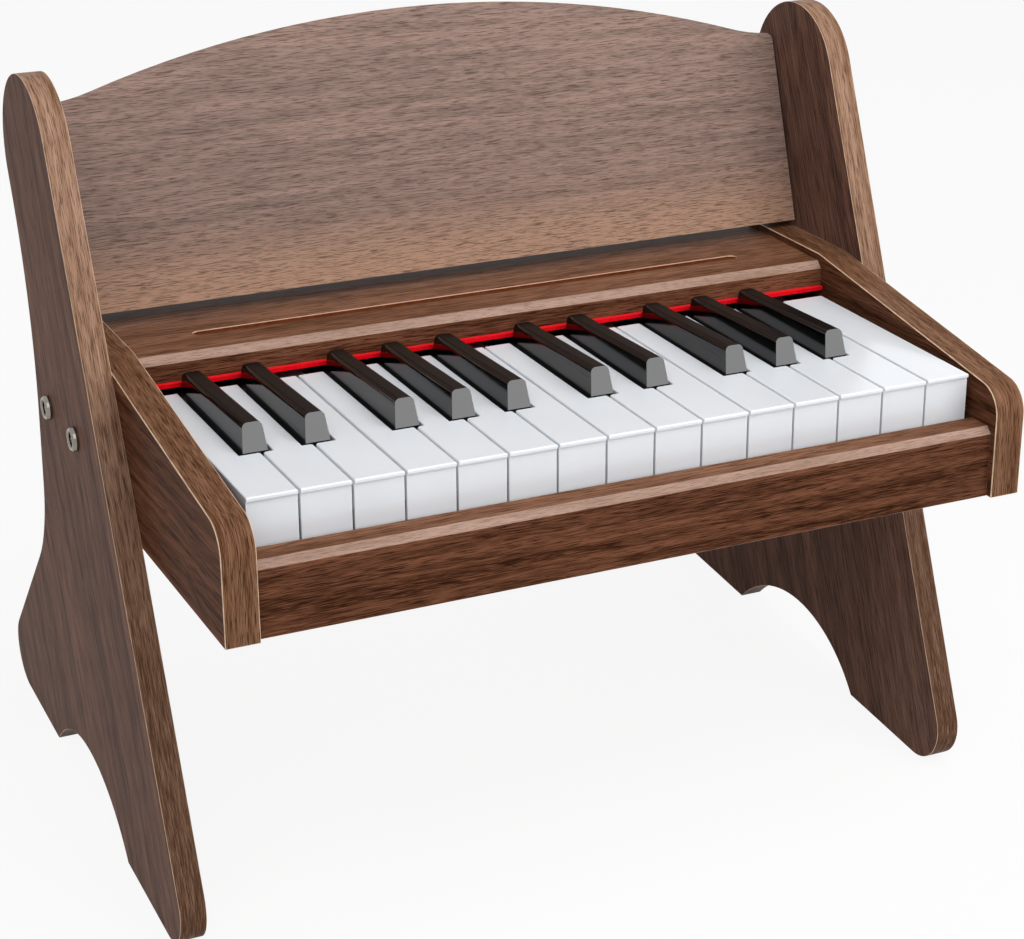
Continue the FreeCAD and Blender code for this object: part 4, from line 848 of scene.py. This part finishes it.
def add_camera(scene):
    """The camera fitted to the photograph."""
    data = bpy.data.cameras.new("photo_camera")
    data.sensor_width = SENSOR_MM
    data.lens = SENSOR_MM * FOCAL_PIXELS / IMAGE_WIDTH
    data.shift_x = -CENTRE_OFFSET_PIXELS[0] / IMAGE_WIDTH
    data.shift_y = CENTRE_OFFSET_PIXELS[1] / IMAGE_WIDTH
    camera = bpy.data.objects.new("photo_camera", data)
    flat = math.cos(CAMERA_ELEVATION)
    back = Vector((math.sin(CAMERA_AZIMUTH) * flat, -math.cos(CAMERA_AZIMUTH) * flat, math.sin(CAMERA_ELEVATION)))
    level_right = Vector((0, 0, 1)).cross(back).normalized()
    level_up = back.cross(level_right)
    right = math.cos(CAMERA_ROLL) * level_right + math.sin(CAMERA_ROLL) * level_up
    turn = Matrix((right, back.cross(right), back)).transposed().to_4x4()
    camera.matrix_world = Matrix.Translation(CAMERA_PLACE) @ turn
    scene.collection.objects.link(camera)
    scene.camera = camera


class PIANO_OT_stage(bpy.types.Operator):
    """Sets the pale floor, the soft studio lamps and the camera"""
    bl_idname = "piano.stage"
    bl_label = "Stage"

    def execute(self, context):
        sizes, colours = settings_of(context)
        context.scene.view_settings.view_transform = "Standard"
        add_surroundings(context.scene, colours.floor)
        add_floor(context.scene, sizes.floor_reach, colours.floor)
        for name, lamp in LAMPS.items():
            add_lamp(context.scene, name, *lamp)
        add_camera(context.scene)
        return {"FINISHED"}


OPERATORS = (PIANO_OT_legs, PIANO_OT_back_panel, PIANO_OT_case, PIANO_OT_keys, PIANO_OT_felts,
             PIANO_OT_fittings, PIANO_OT_electronics, PIANO_OT_stage)


class PIANO_PT_sidebar(bpy.types.Panel):
    """Lists the pieces of the piano"""
    bl_idname = "PIANO_PT_sidebar"
    bl_label = "Piano"
    bl_space_type = "VIEW_3D"
    bl_region_type = "UI"
    bl_category = "Piano"

    def draw(self, context):
        for operator in OPERATORS:
            self.layout.operator(operator.bl_idname)


CLASSES = (PianoSizes, PianoColours, *OPERATORS, PIANO_PT_sidebar)


def register():
    """Adds the classes and the scene's settings."""
    for item in CLASSES:
        bpy.utils.register_class(item)
    bpy.types.Scene.piano_sizes = bpy.props.PointerProperty(type=PianoSizes)
    bpy.types.Scene.piano_colours = bpy.props.PointerProperty(type=PianoColours)


def unregister():
    """Removes what register adds."""
    del bpy.types.Scene.piano_colours
    del bpy.types.Scene.piano_sizes
    for item in reversed(CLASSES):
        bpy.utils.unregister_class(item)


def main():
    """Builds every piece in order."""
    register()
    bpy.ops.piano.legs()
    bpy.ops.piano.back_panel()
    bpy.ops.piano.case()
    bpy.ops.piano.keys()
    bpy.ops.piano.felts()
    bpy.ops.piano.fittings()
    bpy.ops.piano.electronics()
    bpy.ops.piano.stage()


if __name__ == "__main__":
    main()
